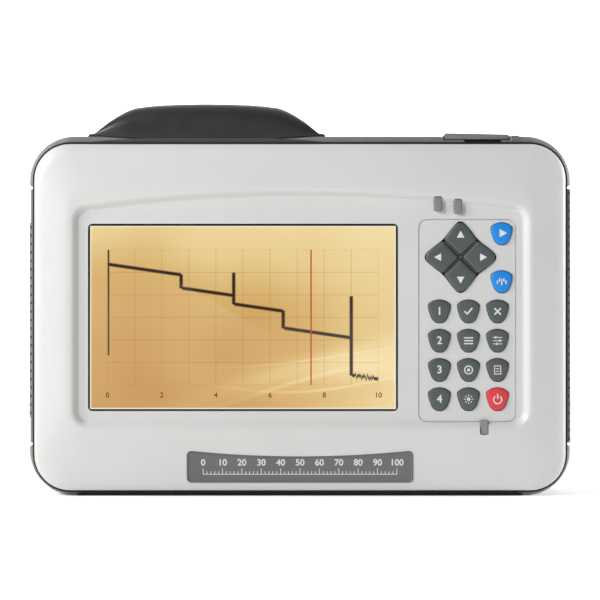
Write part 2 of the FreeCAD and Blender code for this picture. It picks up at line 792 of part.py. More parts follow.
def side_grips():
    for word, side in (("left", "-"), ("right", "")):
        low_x = "-body_wide/2" if side else "body_wide/2-guard_thick"
        tall = "grip_high-grip_low"
        strip = block(("guard_thick", "grip_deep", tall), (low_x, SHELL_FRONT, "grip_low"))
        edge = value(SHELL_FRONT)
        outer = value("-body_wide/2") if side else value("body_wide/2")
        doc.recompute()
        rounded_strip = doc.addObject("Part::Fillet", "Fillet")
        rounded_strip.Base = strip
        chosen = [
            i
            for i, e in enumerate(strip.Shape.Edges, 1)
            if close(e.BoundBox.XMin, outer) and close(e.BoundBox.XMax, outer)
        ]
        rounded_strip.Edges = [(i, 1.5, 1.5) for i in chosen]
        keep(f"side_grip_{word}", rounded_strip)


# ---- top handle -------------------------------------------------------------------------


def grip_outline(body, level, less="0"):
    """The arch seen from the front, between two flat feet; its shoulders can be drawn in."""
    base, half, top = "body_tall", f"(handle_half-{less})", f"(body_tall+handle_rise-{less})"
    flare = [("handle_half", f"{base}+foot_thick"), ("handle_half-3", f"{base}+foot_thick", "-0.5")]
    points = [("-handle_half", base), ("handle_half", base)] + flare + [
        (f"{half}-8", f"{base}+4.2"),
        (f"{half}-19.4", f"{top}-3.8", "0.7"),
        (f"{half}-25.4", f"{top}-1.7", "1.7"),
        (f"25.4-{half}", f"{top}-1.7", "0.7"),
        (f"19.4-{half}", f"{top}-3.8"),
        (f"8-{half}", f"{base}+4.2", "-0.5"),
        ("3-handle_half", f"{base}+foot_thick"),
        ("-handle_half", f"{base}+foot_thick"),
    ]
    return outline(new_sketch(body, level, centre=("handle_x", "0")), points)


def handle_parts():
    """A soft arched grip: its front wall drops to the case, and it is open behind."""
    body = new_body()
    base = "body_tall"
    soft = "handle_soft"
    behind = "handle_front+handle_deep"
    for face, step in (("handle_front", "+"), (behind, "-")):
        edge = body.newObject("PartDesign::AdditiveLoft", "Edge")
        edge.Profile = grip_outline(body, face, soft)
        edge.Sections = [grip_outline(body, f"{face}{step}{soft}")]
        edge.Ruled = True
        if step == "+":
            middle = grip_outline(body, f"{face}+{soft}")
            grow(body, middle, f"handle_deep-2*{soft}", reverse=True)
    hollow = new_sketch(body, "handle_front+handle_wall", centre=("handle_x", "0"))
    inner = "(handle_half-17)"
    points = [
        (f"-{inner}", f"{base}-1"),
        (inner, f"{base}-1"),
        (inner, f"{base}+3"),
        (f"{inner}-8", f"{base}+9", "1.2"),
        (f"8-{inner}", f"{base}+9"),
        (f"-{inner}", f"{base}+3"),
    ]
    cut(body, outline(hollow, points), "handle_deep")
    holes = new_sketch(body, "body_tall+foot_thick", "XY_Plane")
    cut(body, circles(holes, handle_screw_spots(), "2.2"), "0.9")
    holes = new_sketch(body, "body_tall+foot_thick", "XY_Plane")
    cut(body, circles(holes, handle_screw_spots(), "1.25"), "3")
    keep("handle_grip", body)
    screws = []
    for x, y in handle_screw_spots():
        head = rod("2.1", "0.8", (x, y, "body_tall+foot_thick-0.9"))
        shank = rod("1.25", "3", (x, y, "body_tall+foot_thick-3.8"))
        slot = block(("3", "0.6", "0.4"), (f"{x}-1.5", f"{y}-0.3", "body_tall+foot_thick-0.4"))
        screws.append(carve(fuse(head, shank), slot))
    keep("handle_screws", group(*screws))


# ---- optical ports and their flap -------------------------------------------------------


def port_parts():
    floor = "body_tall-well_drop"
    for name, (x, y) in zip(("laser_port", "fibre_port"), port_spots()):
        barrel = rod("port_round", "12", (x, y, f"{floor}-3"))
        collar = rod("port_round+1.6", "1.5", (x, y, floor))
        well = rod("3.2", "5", (x, y, f"{floor}+4"))
        sleeve = rod("2.0", "5", (x, y, f"{floor}+4"))
        bore = rod("ferrule_bore", "12", (x, y, floor))
        keep(name, carve(fuse(carve(fuse(barrel, collar), well), sleeve), bore))

    body = new_body()
    y = "well_y-well_deep/2-1.5"
    sketch = new_sketch(body, y)
    low = "body_tall+flap_lift"
    points = [
        ("flap_left", low),
        ("flap_pivot", low),
        ("flap_pivot", f"{low}+0.5"),
        ("flap_left+3", f"{low}+flap_thick", "0.3"),
        ("flap_left", f"{low}+0.6"),
    ]
    grow(body, outline(sketch, points), "well_deep+3", reverse=True)
    points[1] = ("flap_right", low)
    points[2] = ("flap_right", f"{low}+0.55")
    grow(body, outline(new_sketch(body, SHELL_FRONT), points), f"{y}-({SHELL_FRONT})", reverse=True)
    points = [
        ("flap_left+0.3", "lip_low"),
        ("flap_right", "lip_low"),
        ("flap_right", f"{low}+0.3"),
        ("flap_left+0.3", f"{low}+0.3"),
    ]
    grow(body, outline(new_sketch(body, SHELL_FRONT), points), "lip_thick", reverse=True)
    plug = new_sketch(body, low, "XY_Plane", ("well_x-0.5", "well_y"))
    grow(body, rounded(plug, "well_wide-3", "well_deep-2", "2"), "flap_plug+flap_lift", reverse=True)
    bottom = new_sketch(body, "body_tall-flap_plug", "XY_Plane", ("well_x-0.5", "well_y"))
    bottom = rounded(bottom, "well_wide-3-2*plug_wall", "well_deep-2-2*plug_wall", "1.2")
    cut(body, bottom, "flap_plug+flap_lift", reverse=True)
    barrel = circles(new_sketch(body, "well_y-well_deep/2-1"), [FLAP_PIVOT], "pivot_round")
    grow(body, barrel, "well_deep+2", reverse=True)
    pin = circles(new_sketch(body, "well_y-well_deep/2-2"), [FLAP_PIVOT], "pivot_pin+pin_play")
    cut(body, pin, "well_deep+4")
    keep("port_flap", body)
    spot = (FLAP_PIVOT[0], "well_y-well_deep/2-4", FLAP_PIVOT[1])
    keep("flap_pin", rod("pivot_pin", "well_deep+8", spot, "y"))


# ---- back: battery and stand ------------------------------------------------------------


def back_parts():
    size = ("bay_wide-3", "bay_tall-3", "bay_deep-lid_thick-2")
    keep("battery_pack", plate(size, "5", ("0", "bay_z"), f"({BACK})-bay_deep+1"))
    lid = plate(("lid_wide", "lid_tall", "lid_thick"), "3", ("0", "bay_z"), f"({BACK})-lid_thick")
    cut(lid, circles(new_sketch(lid, BACK), lid_screws(), "2.4"), "1.2", reverse=True)
    cut(lid, circles(new_sketch(lid, BACK), lid_screws(), "1.25"), "5", reverse=True)
    for number in range(3):
        groove = new_sketch(lid, BACK, centre=("0", f"bay_z-20+{number}*3"))
        cut(lid, rounded(groove, "24", "1.4", "0.6"), "0.8", reverse=True)
    keep("battery_lid", lid)
    screws = []
    for x, z in lid_screws():
        head = rod("2.3", "1", (x, f"({BACK})-1.2", z), "y")
        shank = rod("1.25", "8", (x, f"({BACK})-9.2", z), "y")
        slot = block(("3", "0.6", "0.6"), (f"{x}-1.5", f"({BACK})-0.8", f"{z}-0.3"))
        screws.append(carve(fuse(head, shank), slot))
    keep("lid_screws", group(*screws))

    pivot = f"({BACK})-2.5"
    frame = plate(
        ("stand_wide", "stand_tall", "stand_thick"),
        "4",
        ("0", "stand_top-stand_tall/2"),
        f"{pivot}-stand_thick/2",
    )
    window = new_sketch(frame, f"{pivot}-stand_thick/2", centre=("0", "stand_top-stand_tall/2"))
    rounded(window, "stand_wide-2*stand_rail", "stand_tall-2*stand_rail", "6")
    cut(frame, window, "stand_thick")
    barrel = circles(new_sketch(frame, "-stand_wide/2", "YZ_Plane"), [(pivot, "stand_top")], "2")
    grow(frame, barrel, "stand_wide")
    pin = circles(new_sketch(frame, "-stand_wide/2-1", "YZ_Plane"), [(pivot, "stand_top")], "stand_pin+pin_play")
    cut(frame, pin, "stand_wide+2", reverse=True)
    keep("kickstand", frame)
    keep("stand_pin", rod("stand_pin", "stand_wide+7", ("-stand_wide/2-3.5", pivot, "stand_top"), "x"))


# ---- left side: data ports --------------------------------------------------------------


def side_parts():
    floor = "-body_wide/2+guard_thick+side_well_deep"
    y, z = "side_well_y", "side_well_z"

    network = block(("9", "16", "13.6"), (f"{floor}-9", f"{y}-8", f"{z}+8.5"))
    mouth = block(("8", "11.8", "7"), (f"{floor}-9", f"{y}-5.9", f"{z}+11"))
    notch = block(("8", "4", "2.6"), (f"{floor}-9", f"{y}-2", f"{z}+18"))
    keep("network_socket", carve(network, mouth, notch))

    shell = block(("9", "14.4", "7.2"), (f"{floor}-9", f"{y}-7.2", f"{z}-5"))
    mouth = block(("8", "12.6", "5.2"), (f"{floor}-9", f"{y}-6.3", f"{z}-4"))
    tongue = block(("7.6", "11", "1.8"), (f"{floor}-8.2", f"{y}-5.5", f"{z}-1.2"))
    keep("usb_socket", fuse(carve(shell, mouth), tongue))

    cube = block(("9", "10", "10"), (f"{floor}-9", f"{y}-5", f"{z}-21"))
    ring = rod("2.9", "8", (f"{floor}-9", y, f"{z}-16"), "x")
    pin = rod("1.0", "7.5", (f"{floor}-8.4", y, f"{z}-16"), "x")
    keep("power_inlet", fuse(carve(cube, ring), pin))

    left = "-body_wide/2+guard_thick"
    pivot_x, pivot_y = f"{left}+1.5", "side_well_y+13.2"
    body = new_body()
    sketch = new_sketch(body, left, "YZ_Plane", ("side_well_y+0.8", "side_well_z"))
    grow(body, rounded(sketch, "side_well_wide+3", "side_well_tall+2.4", "1.8"), "side_lid_thick")
    low = "side_well_z-side_well_tall/2"
    barrel = circles(new_sketch(body, low, "XY_Plane"), [(pivot_x, pivot_y)], "1.35")
    grow(body, barrel, "side_well_tall")
    web = new_sketch(body, low, "XY_Plane", (pivot_x, "side_well_y+12.2"))
    grow(body, rounded(web, "1.2", "2", "0.2"), "side_well_tall")
    pin = circles(new_sketch(body, f"{low}-2", "XY_Plane"), [(pivot_x, pivot_y)], "pivot_pin+pin_play")
    cut(body, pin, "side_well_tall+4", reverse=True)
    keep("port_door", body)
    keep("door_pin", rod("pivot_pin", "side_well_tall+9", (pivot_x, pivot_y, f"{low}-4.5"), "z"))


# ---- inside -----------------------------------------------------------------------------


def inner_parts():
    size = ("board_wide", "board_tall", "board_thick")
    keep("main_board", plate(size, "3", ("0", "board_z"), "board_front"))
    back = "board_front+board_thick"
    cans = [
        block(("40", "4", "34"), ("-90", back, "96")),
        block(("26", "3", "26"), ("-90", back, "60")),
        block(("52", "5", "24"), ("-40", back, "108")),
        rod("6", "5", ("-74", back, "40"), "y"),
    ]
    keep("board_modules", group(*cans))
    size = ("module_wide", "module_tall", "module_deep")
    top = "module_z+module_tall/2"
    keep("test_module", plate(size, "3", ("module_x", "module_z"), back + "+3"))

    port_z = "body_tall-well_drop-3"
    laser_x, fibre_x = port_spots()[0][0], port_spots()[1][0]
    keep("fault_laser", rod("4.6", "30", (laser_x, "well_y", f"{port_z}-30")))

    # the fibre drops from its port, turns under the laser and drops into the test module
    start = Vector(value(fibre_x), value("well_y"), value(port_z))
    end = Vector(value("module_x+10"), value("well_y"), value(top))
    bend = value("fibre_bend")
    level = value(port_z) - 44
    slant = bend * (1 - 0.70710678)
    turn_down = Vector(start.x, start.y, level + bend)
    run_from = Vector(start.x - bend, start.y, level)
    run_to = Vector(end.x + bend, start.y, level)
    drop = Vector(end.x, start.y, level - bend)
    near = Vector(start.x - slant, start.y, level + slant)
    far = Vector(end.x + slant, start.y, level - slant)
    path = Part.Wire(
        [
            Part.LineSegment(start, turn_down).toShape(),
            Part.Arc(turn_down, near, run_from).toShape(),
            Part.LineSegment(run_from, run_to).toShape(),
            Part.Arc(run_to, far, drop).toShape(),
            Part.LineSegment(drop, end).toShape(),
        ]
    )
    circle = Part.Circle(start, Vector(0, 0, 1), value("fibre_round")).toShape()
    fibre = doc.addObject("Part::Feature", "Fibre")
    fibre.Shape = path.makePipeShell([Part.Wire([circle])], True, False)
    keep("fibre_pigtail", fibre)

    gap = f"(board_front)-({DISPLAY_BACK})"
    keep("display_cable", block(("24", gap, "0.4"), ("-52", DISPLAY_BACK, "70")))
    behind_keys = DOME_FRONT + "+0.5+1.2"
    gap = f"(board_front)-({behind_keys})"
    keep("keypad_cable", block(("14", gap, "0.4"), ("pad_x-7", behind_keys, "90")))


def case_screws():
    screws = []
    seat = f"({BACK})-40"
    for x, z in screw_spots():
        head = rod("screw_head", "2.4", (x, seat, z), "y")
        tip = f"({COVER_BACK})-3.5"
        shank = rod("screw_round", f"({seat})-({tip})", (x, tip, z), "y")
        slot = rod("1.3", "1.2", (x, f"{seat}+1.2", z), "y")
        screws.append(carve(fuse(head, shank), slot))
    keep("case_screws", group(*screws))


front_cover()
screen_parts()
key_parts()
lens_parts()
name_plate()
rear_shell(corner_guards())
case_gasket()
side_grips()
handle_parts()
port_parts()
back_parts()
side_parts()
inner_parts()
case_screws()
doc.recompute()

broken = [o.Name for o in doc.Objects if {"Invalid", "Error"} & set(o.State)]
broken += [name for name, o in nodes.items() if o.Shape.isNull() or not o.Shape.isValid()]
if broken:
    raise SystemExit("failed: " + ", ".join(broken))

os.makedirs("parts", exist_ok=True)
for name, thing in nodes.items():
    thing.Shape.exportStep(f"parts/{name}.step")
print(len(nodes), "nodes written")
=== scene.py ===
# %% [markdown]
# # A handheld optical time domain reflectometer
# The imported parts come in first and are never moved. They give the sizes and places that
# follow, so nothing is fitted by eye. Lengths are in metres, X runs to the right, Y from the
# front to the back, and Z up.

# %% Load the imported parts
import math

import bmesh
import bpy
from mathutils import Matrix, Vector


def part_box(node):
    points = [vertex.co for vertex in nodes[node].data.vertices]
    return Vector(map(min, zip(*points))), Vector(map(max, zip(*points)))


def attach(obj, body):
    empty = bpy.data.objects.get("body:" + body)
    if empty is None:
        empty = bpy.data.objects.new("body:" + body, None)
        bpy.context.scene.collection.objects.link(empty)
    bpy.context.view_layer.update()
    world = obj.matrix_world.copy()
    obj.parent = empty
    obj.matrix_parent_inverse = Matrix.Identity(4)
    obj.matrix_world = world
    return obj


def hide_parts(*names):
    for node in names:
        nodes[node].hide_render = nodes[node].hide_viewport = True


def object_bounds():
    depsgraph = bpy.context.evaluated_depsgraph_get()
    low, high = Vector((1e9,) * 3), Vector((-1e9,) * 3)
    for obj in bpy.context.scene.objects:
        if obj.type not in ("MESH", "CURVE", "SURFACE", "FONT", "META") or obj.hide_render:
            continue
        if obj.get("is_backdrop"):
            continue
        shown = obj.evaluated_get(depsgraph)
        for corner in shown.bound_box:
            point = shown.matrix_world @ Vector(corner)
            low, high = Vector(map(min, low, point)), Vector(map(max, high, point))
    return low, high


MM = 0.001
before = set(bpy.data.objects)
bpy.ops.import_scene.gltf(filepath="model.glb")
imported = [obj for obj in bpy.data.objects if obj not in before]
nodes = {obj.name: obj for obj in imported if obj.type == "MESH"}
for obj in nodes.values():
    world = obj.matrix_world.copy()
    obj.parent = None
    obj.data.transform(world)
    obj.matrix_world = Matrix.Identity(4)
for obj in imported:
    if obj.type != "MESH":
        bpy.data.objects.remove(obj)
cad_low, cad_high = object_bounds()
print("parts:", len(nodes), "box:", [round(v / MM, 1) for v in (*cad_low, *cad_high)])

# %% [markdown]
# ## Working in edit mode from a script
# By hand a modeller clicks on what the next tool should change. A script picks by place: a
# test says of each vertex, edge or face whether it is wanted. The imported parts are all
# selected after they load, so a new piece always starts by deselecting.

# %% Start a piece, and leave it
def link(thing):
    bpy.context.scene.collection.objects.link(thing)


def bare():
    """Object mode, with nothing selected."""
    if bpy.context.object and bpy.context.object.mode == "EDIT":
        bpy.ops.object.mode_set(mode="OBJECT")
    bpy.ops.object.select_all(action="DESELECT")


def work_on(piece):
    bare()
    piece.select_set(True)
    bpy.context.view_layer.objects.active = piece


def edit(piece):
    work_on(piece)
    bpy.ops.object.mode_set(mode="EDIT")


def begin(name):
    """An empty piece in edit mode, ready for its first primitive."""
    piece = bpy.data.objects.new(name, bpy.data.meshes.new(name))
    link(piece)
    edit(piece)
    return piece


# %% Pick in a piece, and change its points
def select_all():
    bpy.ops.mesh.select_all(action="SELECT")


def select_none():
    bpy.ops.mesh.select_all(action="DESELECT")


def mesh_in_hand():
    return bmesh.from_edit_mesh(bpy.context.object.data)


def update():
    bmesh.update_edit_mesh(bpy.context.object.data)


def pick(kind, test):
    """Select the vertices, edges or faces of the piece in hand that the test accepts."""
    bpy.ops.mesh.select_mode(type=kind)
    select_none()
    mesh = mesh_in_hand()
    for thing in {"VERT": mesh.verts, "EDGE": mesh.edges, "FACE": mesh.faces}[kind]:
        if test(thing):
            thing.select_set(True)
    mesh.select_flush_mode()
    update()


def each_point(change):
    mesh = mesh_in_hand()
    for vertex in mesh.verts:
        change(vertex)
    update()


def place_selected(points):
    """Put the selected vertices at the points, in order."""
    mesh = mesh_in_hand()
    chosen = [vertex for vertex in mesh.verts if vertex.select]
    for vertex, point in zip(chosen, points):
        vertex.co = point
    update()


def middle(thing):
    """The middle of an edge or a face."""
    return sum((v.co for v in thing.verts), Vector()) / len(thing.verts)


# %% [markdown]
# ## Outlines
# Nearly every form here starts as a flat outline that faces the front: a rounded rectangle,
# or a few points whose corners are cut round by a vertex bevel. Outlines of equally many
# points can be bridged into one smooth skin, which is how the cover is made.

# %% Flat outlines that face the front
FACING = (math.pi / 2, 0, 0)
ACROSS = (0, math.pi / 2, 0)


def shift(x=0.0, y=0.0, z=0.0):
    bpy.ops.transform.translate(value=(x, y, z))


def stretch(x, y, z, centre):
    bpy.ops.transform.resize(value=(x, y, z), center_override=centre)


def turned(degrees, place):
    """Turn what is selected clockwise, as seen from the front."""
    if degrees:
        angle = -math.radians(degrees)
        bpy.ops.transform.rotate(value=angle, orient_axis="Y", center_override=place)


def push(depth):
    """Extrude what is selected along Y."""
    bpy.ops.mesh.extrude_region_move(TRANSFORM_OT_translate={"value": (0, depth, 0)})


def inset(thickness):
    bpy.ops.mesh.inset(thickness=thickness, depth=0)


def cut_corners(corner, steps):
    if corner:
        bpy.ops.mesh.bevel(offset=corner, segments=steps, affect="VERTICES")


def plane(wide, tall, place):
    """A flat rectangle about a place, left selected."""
    select_none()
    bpy.ops.mesh.primitive_plane_add(size=1, location=place, rotation=FACING)
    stretch(wide, 1, tall, place)


def rounded_face(wide, tall, corner, centre, level, steps=6):
    """A rounded rectangle, left selected."""
    plane(wide, tall, (centre[0], level, centre[1]))
    cut_corners(corner, steps)


def point_face(points, level, corner=0.0, steps=5):
    """A face through points (x, z), in order against the clock, with its corners cut round."""
    select_none()
    bpy.ops.mesh.primitive_circle_add(vertices=len(points), radius=1, fill_type="NGON", rotation=FACING)
    place_selected([(x, level, z) for x, z in points])
    cut_corners(corner, steps)


# %% Two plain solids, each a piece of its own
def slab(name, wide, tall, corner, centre, front, back, steps=6):
    """A rounded block between two levels."""
    piece = begin(name)
    rounded_face(wide, tall, corner, centre, front, steps)
    push(back - front)
    return piece


def rod(name, radius, length, place, turn, sides):
    piece = begin(name)
    bpy.ops.mesh.primitive_cylinder_add(
        vertices=sides, radius=radius, depth=length, location=place, rotation=turn
    )
    return piece


# %% [markdown]
# ## Bridging, cutting and finishing
# A bridge joins two open outlines with a band of faces. A Boolean modifier takes one piece
# out of another, the quickest way to a clean hole. Leaving a piece merges its doubles, turns
# its faces outwards, smooths what isn't a real edge, and hides the imported part it stands for.

# %% Bands between outlines
def bridge_rings(points):
    """Join outlines of equally many points in order, and close both ends."""
    total = len(mesh_in_hand().verts)
    for start in range(0, total - points, points):
        pick("VERT", lambda v, s=start: s <= v.index < s + 2 * points)
        bpy.ops.mesh.select_mode(type="EDGE")
        bpy.ops.mesh.bridge_edge_loops()
    for start in (0, total - points):
        pick("VERT", lambda v, s=start: s <= v.index < s + points)
        bpy.ops.mesh.edge_face_add()
    return total // points


# %% Joining, cutting and leaving a piece
def outwards(piece):
    """Merge doubled points and turn every face to the outside."""
    edit(piece)
    bpy.ops.mesh.select_mode(type="VERT")
    select_all()
    bpy.ops.mesh.remove_doubles(threshold=0.002 * MM)
    bpy.ops.mesh.normals_make_consistent(inside=False)
    bpy.ops.object.mode_set(mode="OBJECT")


def joined(first, *others):
    work_on(first)
    for other in others:
        other.select_set(True)
    bpy.ops.object.join()
    return first


def combined(piece, operation, others):
    """Cut the others out of the piece, or melt them into it."""
    for part in (piece, *others):
        outwards(part)
    for other in others:
        step = piece.modifiers.new("step", "BOOLEAN")
        step.operation, step.solver, step.object = operation, "EXACT", other
    work_on(piece)
    for step in list(piece.modifiers):
        bpy.ops.object.modifier_apply(modifier=step.name)
    for other in others:
        bpy.data.objects.remove(other)
    return piece


def cut_away(piece, *cutters):
    return combined(piece, "DIFFERENCE", cutters)


def merged(piece, *others):
    return combined(piece, "UNION", others)


def dressed(piece, slot, finish=None, body="case", stands_for=(), smooth=30):
    """Give a piece its finish and its body, and hide the nodes that it replaces."""
    outwards(piece)
    bpy.ops.object.shade_smooth_by_angle(angle=math.radians(smooth))
    piece.data.materials.clear()
    piece.data.materials.append(finishes[finish or slot])
    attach(piece, body)
    if stands_for:
        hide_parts(*stands_for)
    mesh = bmesh.new()
    mesh.from_mesh(piece.data)
    loose = sum(1 for edge in mesh.edges if len(edge.link_faces) != 2)
    mesh.free()
    size = [round(v / MM, 1) for v in piece.dimensions]
    print(f"{piece.name}: {len(piece.data.polygons)} faces, {size} mm, {loose} open edges")


# %% [markdown]
# ## Finishes
# A finish is a network of shader nodes. Written out one by one they are hard to read, so a
# small class wraps a node's output: sums and products of such outputs add the Math nodes, and
# one method makes every other node. Patterns lie in Object coordinates, in metres, so they
# have their real size on every piece.

# %% Shader maths as plain expressions
def operator(operation, reflected=False):
    """The method behind a sign such as + or -."""
    def act(self, other):
        pair = (other, self) if reflected else (self, other)
        return self.maths(operation, *pair)

    return act


class Field:
    """A number or colour that varies over a surface."""

    __add__ = __radd__ = operator("ADD")
    __mul__ = __rmul__ = operator("MULTIPLY")
    __sub__, __rsub__ = operator("SUBTRACT"), operator("SUBTRACT", reflected=True)
    __truediv__ = operator("DIVIDE")

    def __init__(self, paint, socket):
        self.paint, self.socket = paint, socket

    def __abs__(self):
        return self.maths("ABSOLUTE", self)

    def maths(self, operation, *values):
        return self.paint.node("Math", {"operation": operation}, dict(enumerate(values)))

    def between(self, low, high):
        """0 below low, 1 above high, and a soft step in between."""
        ease = {"interpolation_type": "SMOOTHSTEP"}
        return self.paint.node("MapRange", ease, {"Value": self, "From Min": low, "From Max": high})

    def within(self, low, high, soft):
        """1 from low to high, with a soft step inside each end."""
        return self.between(low, low + soft) * (1 - self.between(high - soft, high))


class Paint:
    """A material that is being made."""

    def __init__(self, name):
        self.material = bpy.data.materials.new(name + "_finish")
        self.material.use_nodes = True
        self.tree = self.material.node_tree
        self.shader = self.tree.nodes["Principled BSDF"]
        self.place = self.node("TexCoord", output="Object")

    def node(self, kind, settings=None, sockets=None, output=0):
        """Any node: its type, its settings, and then values or links for its sockets."""
        made = self.tree.nodes.new("ShaderNode" + kind)
        for name, setting in (settings or {}).items():
            setattr(made, name, setting)
        for name, value in (sockets or {}).items():
            self.connect(made.inputs[name], value)
        return Field(self, made.outputs[output])

    def connect(self, socket, value):
        if isinstance(value, Field):
            self.tree.links.new(value.socket, socket)
        elif isinstance(value, tuple) and len(value) == 3 and socket.type == "RGBA":
            socket.default_value = (*value, 1.0)
        else:
            socket.default_value = value

    def noise(self, size, detail=2.0):
        """Soft noise whose blotches are about this size."""
        return self.node("TexNoise", {}, {"Vector": self.place, "Scale": 1.0 / size, "Detail": detail})

    def mixed(self, share, first, second):
        """A blend of two colours, which are sockets 6 and 7 of the Mix node."""
        return self.node("Mix", {"data_type": "RGBA"}, {0: share, 6: first, 7: second}, output=2)

    def bump(self, height, depth):
        """Relief this deep, in metres, where the height goes from 0 to 1."""
        return self.node("Bump", {}, {"Height": height, "Distance": depth, "Strength": 1.0})

    def done(self, **sockets):
        """Set the shader's sockets, with _ for a space, and give the material."""
        for name, value in sockets.items():
            self.connect(self.shader.inputs[name.replace("_", " ")], value)
        return self.material


def linear(red, green, blue):
    """A colour as a screen shows it, from 0 to 255, for a shader."""
    shares = [channel / 255 for channel in (red, green, blue)]
    return tuple(s / 12.92 if s <= 0.04045 else ((s + 0.055) / 1.055) ** 2.4 for s in shares)


# %% [markdown]
# ## Moulded plastic and rubber
# The cover is a hard white plastic with a fine spark-eroded grain; the shell and the guards
# are grey plastic and rubber. One function makes them all: a base colour that drifts a little,
# a roughness broken up by faint handling marks, and a grain in the bump. A flat colour would
# do for the shape, but looks like a drawing in close-up.

# %% One recipe for moulded surfaces
def moulded(name, colour, rough, grain=0.35 * MM, depth=0.012 * MM, drift=0.05, marks=0.08):
    paint = Paint(name)
    cloud = paint.noise(45 * MM, 3.0)
    dark = tuple(channel * (1 - drift) for channel in colour)
    light = tuple(min(1.0, channel * (1 + drift)) for channel in colour)
    base = paint.mixed(cloud.between(0.35, 0.65), dark, light)
    handled = paint.noise(9 * MM, 4.0).between(0.45, 0.7)
    relief = paint.bump(paint.noise(grain, 2.0), depth)
    return paint.done(Base_Color=base, Roughness=rough + (handled - 0.5) * marks, Normal=relief)


coarse = {"grain": 0.5 * MM, "depth": 0.02 * MM}
finishes = {}
for name, colour, rough, more in (
    ("white_shell", (195, 195, 194), 0.42, {"drift": 0.012}),
    ("grey_shell", (117, 114, 111), 0.5, {}),
    ("grey_rubber", (126, 123, 119), 0.62, coarse),
    ("handle_rubber", (37, 36, 37), 0.42, {"grain": 0.5 * MM, "depth": 0.01 * MM}),
    ("dark_rubber", (64, 62, 59), 0.6, coarse),
    ("black_rubber", (16, 16, 16), 0.7, {}),
    ("key_grey", (71, 78, 78), 0.5, {"marks": 0.05}),
    ("key_blue", (1, 126, 208), 0.5, {"marks": 0.05}),
    ("key_red", (199, 49, 59), 0.5, {"marks": 0.05}),
    ("lens_grey", (120, 126, 126), 0.3, {"depth": 0.004 * MM}),
    ("plate_grey", (91, 94, 94), 0.45, {}),
    ("stand_black", (33, 33, 35), 0.5, {}),
    ("circuit_green", (19, 78, 51), 0.4, {}),
    ("fibre_yellow", (201, 173, 33), 0.4, {}),
    ("cable_orange", (185, 103, 37), 0.4, {}),
    ("battery_wrap", (37, 56, 94), 0.3, {}),
):
    finishes[name] = moulded(name, linear(*colour), rough, **more)
print("moulded finishes:", len(finishes))

# %% [markdown]
# ## Metal and ink
# Screws, ports, pins and the display's back are plated or turned, which leaves a soft mottle,
# so they are a metal whose roughness varies at a small scale. The legends are printed in an
# ink that is a little worn.

# %% Metals and inks
def metal(name, colour, rough):
    paint = Paint(name)
    streak = paint.noise(0.6 * MM, 3.0)
    base = paint.mixed(paint.noise(6 * MM), tuple(0.85 * c for c in colour), colour)
    relief = paint.bump(streak, 0.004 * MM)
    return paint.done(Base_Color=base, Metallic=1.0, Roughness=rough + streak * 0.15, Normal=relief)


def ink(name, colour):
    paint = Paint(name)
    worn = paint.noise(1.2 * MM, 3.0).between(0.3, 0.6)
    shade = tuple(0.9 * c for c in colour)
    return paint.done(Base_Color=paint.mixed(worn, shade, colour), Roughness=0.5 + worn * 0.1)


finishes["bright_metal"] = metal("bright_metal", linear(205, 206, 208), 0.22)
finishes["dark_steel"] = metal("dark_steel", linear(92, 92, 94), 0.35)
finishes["port_metal"] = metal("port_metal", linear(214, 205, 180), 0.2)
finishes["display_panel"] = metal("display_panel", linear(150, 152, 155), 0.35)
finishes["pale_ink"] = ink("pale_ink", linear(206, 208, 207))
finishes["screen_ink"] = ink("screen_ink", linear(70, 44, 30))
print("finishes:", len(finishes))

# %% [markdown]
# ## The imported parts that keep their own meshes
# The pins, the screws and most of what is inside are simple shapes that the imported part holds
# at full detail. They keep their meshes and only take a finish, by their material slot.

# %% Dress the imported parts
slots = {name: node.data.materials[0].name.split(".")[0] for name, node in nodes.items()}
for name, slot in slots.items():
    if slot in finishes:
        nodes[name].data.materials[0] = finishes[slot]
print("dressed:", len(nodes))


def centre_of(node):
    """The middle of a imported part, across and up."""
    low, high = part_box(node)
    return (low.x + high.x) / 2, (low.z + high.z) / 2


# %% [markdown]
# ## The white front cover
# The cover is one injection moulding: a thin wall round the edge, a pillow-shaped crown that
# rises to a soft ridge, and a slope down into the sunk field that holds the screen and keys.
# A box with bevels would lose the crown's four hips and the bowed upper side of the field, so
# it is a stack of outlines with equally many points, from the rim inwards, and bridged.

# %% Outlines of the cover
CORNER_STEPS, LONG_CUTS, SIDE_CUTS = 10, 11, 7
CORNER_POINTS = 4 * (CORNER_STEPS + 1)
RING_POINTS = CORNER_POINTS + 2 * LONG_CUTS + 2 * SIDE_CUTS

cover_low, cover_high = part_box("front_cover")
cover_wide = cover_high.x - cover_low.x
cover_tall = cover_high.z - cover_low.z
cover_mid = (cover_low.z + cover_high.z) / 2
front, back = cover_low.y, cover_high.y


def cover_ring(wide, tall, corner, centre, level, bow=0.0):
    """An open rounded outline; its upper side can be bowed."""
    rounded_face(wide, tall, corner, centre, level, CORNER_STEPS)
    bpy.ops.mesh.delete(type="ONLY_FACE")
    start = len(mesh_in_hand().verts) - CORNER_POINTS
    straight = 0.3 * tall
    for flat, cuts in ((True, LONG_CUTS), (False, SIDE_CUTS)):
        pick("EDGE", lambda e: e.verts[0].index >= start and e.calc_length() > straight
             and (abs(e.verts[0].co.z - e.verts[1].co.z) < MM) == flat)
        bpy.ops.mesh.subdivide(number_cuts=cuts)

    def raise_top(vertex):
        share = (vertex.co.x - centre[0]) / (wide / 2 - corner)
        on_top = vertex.co.z > centre[1] + tall / 2 - corner and abs(share) < 1
        if vertex.index >= start and on_top:
            vertex.co.z += bow * (1 - share * share)

    if bow:
        each_point(raise_top)


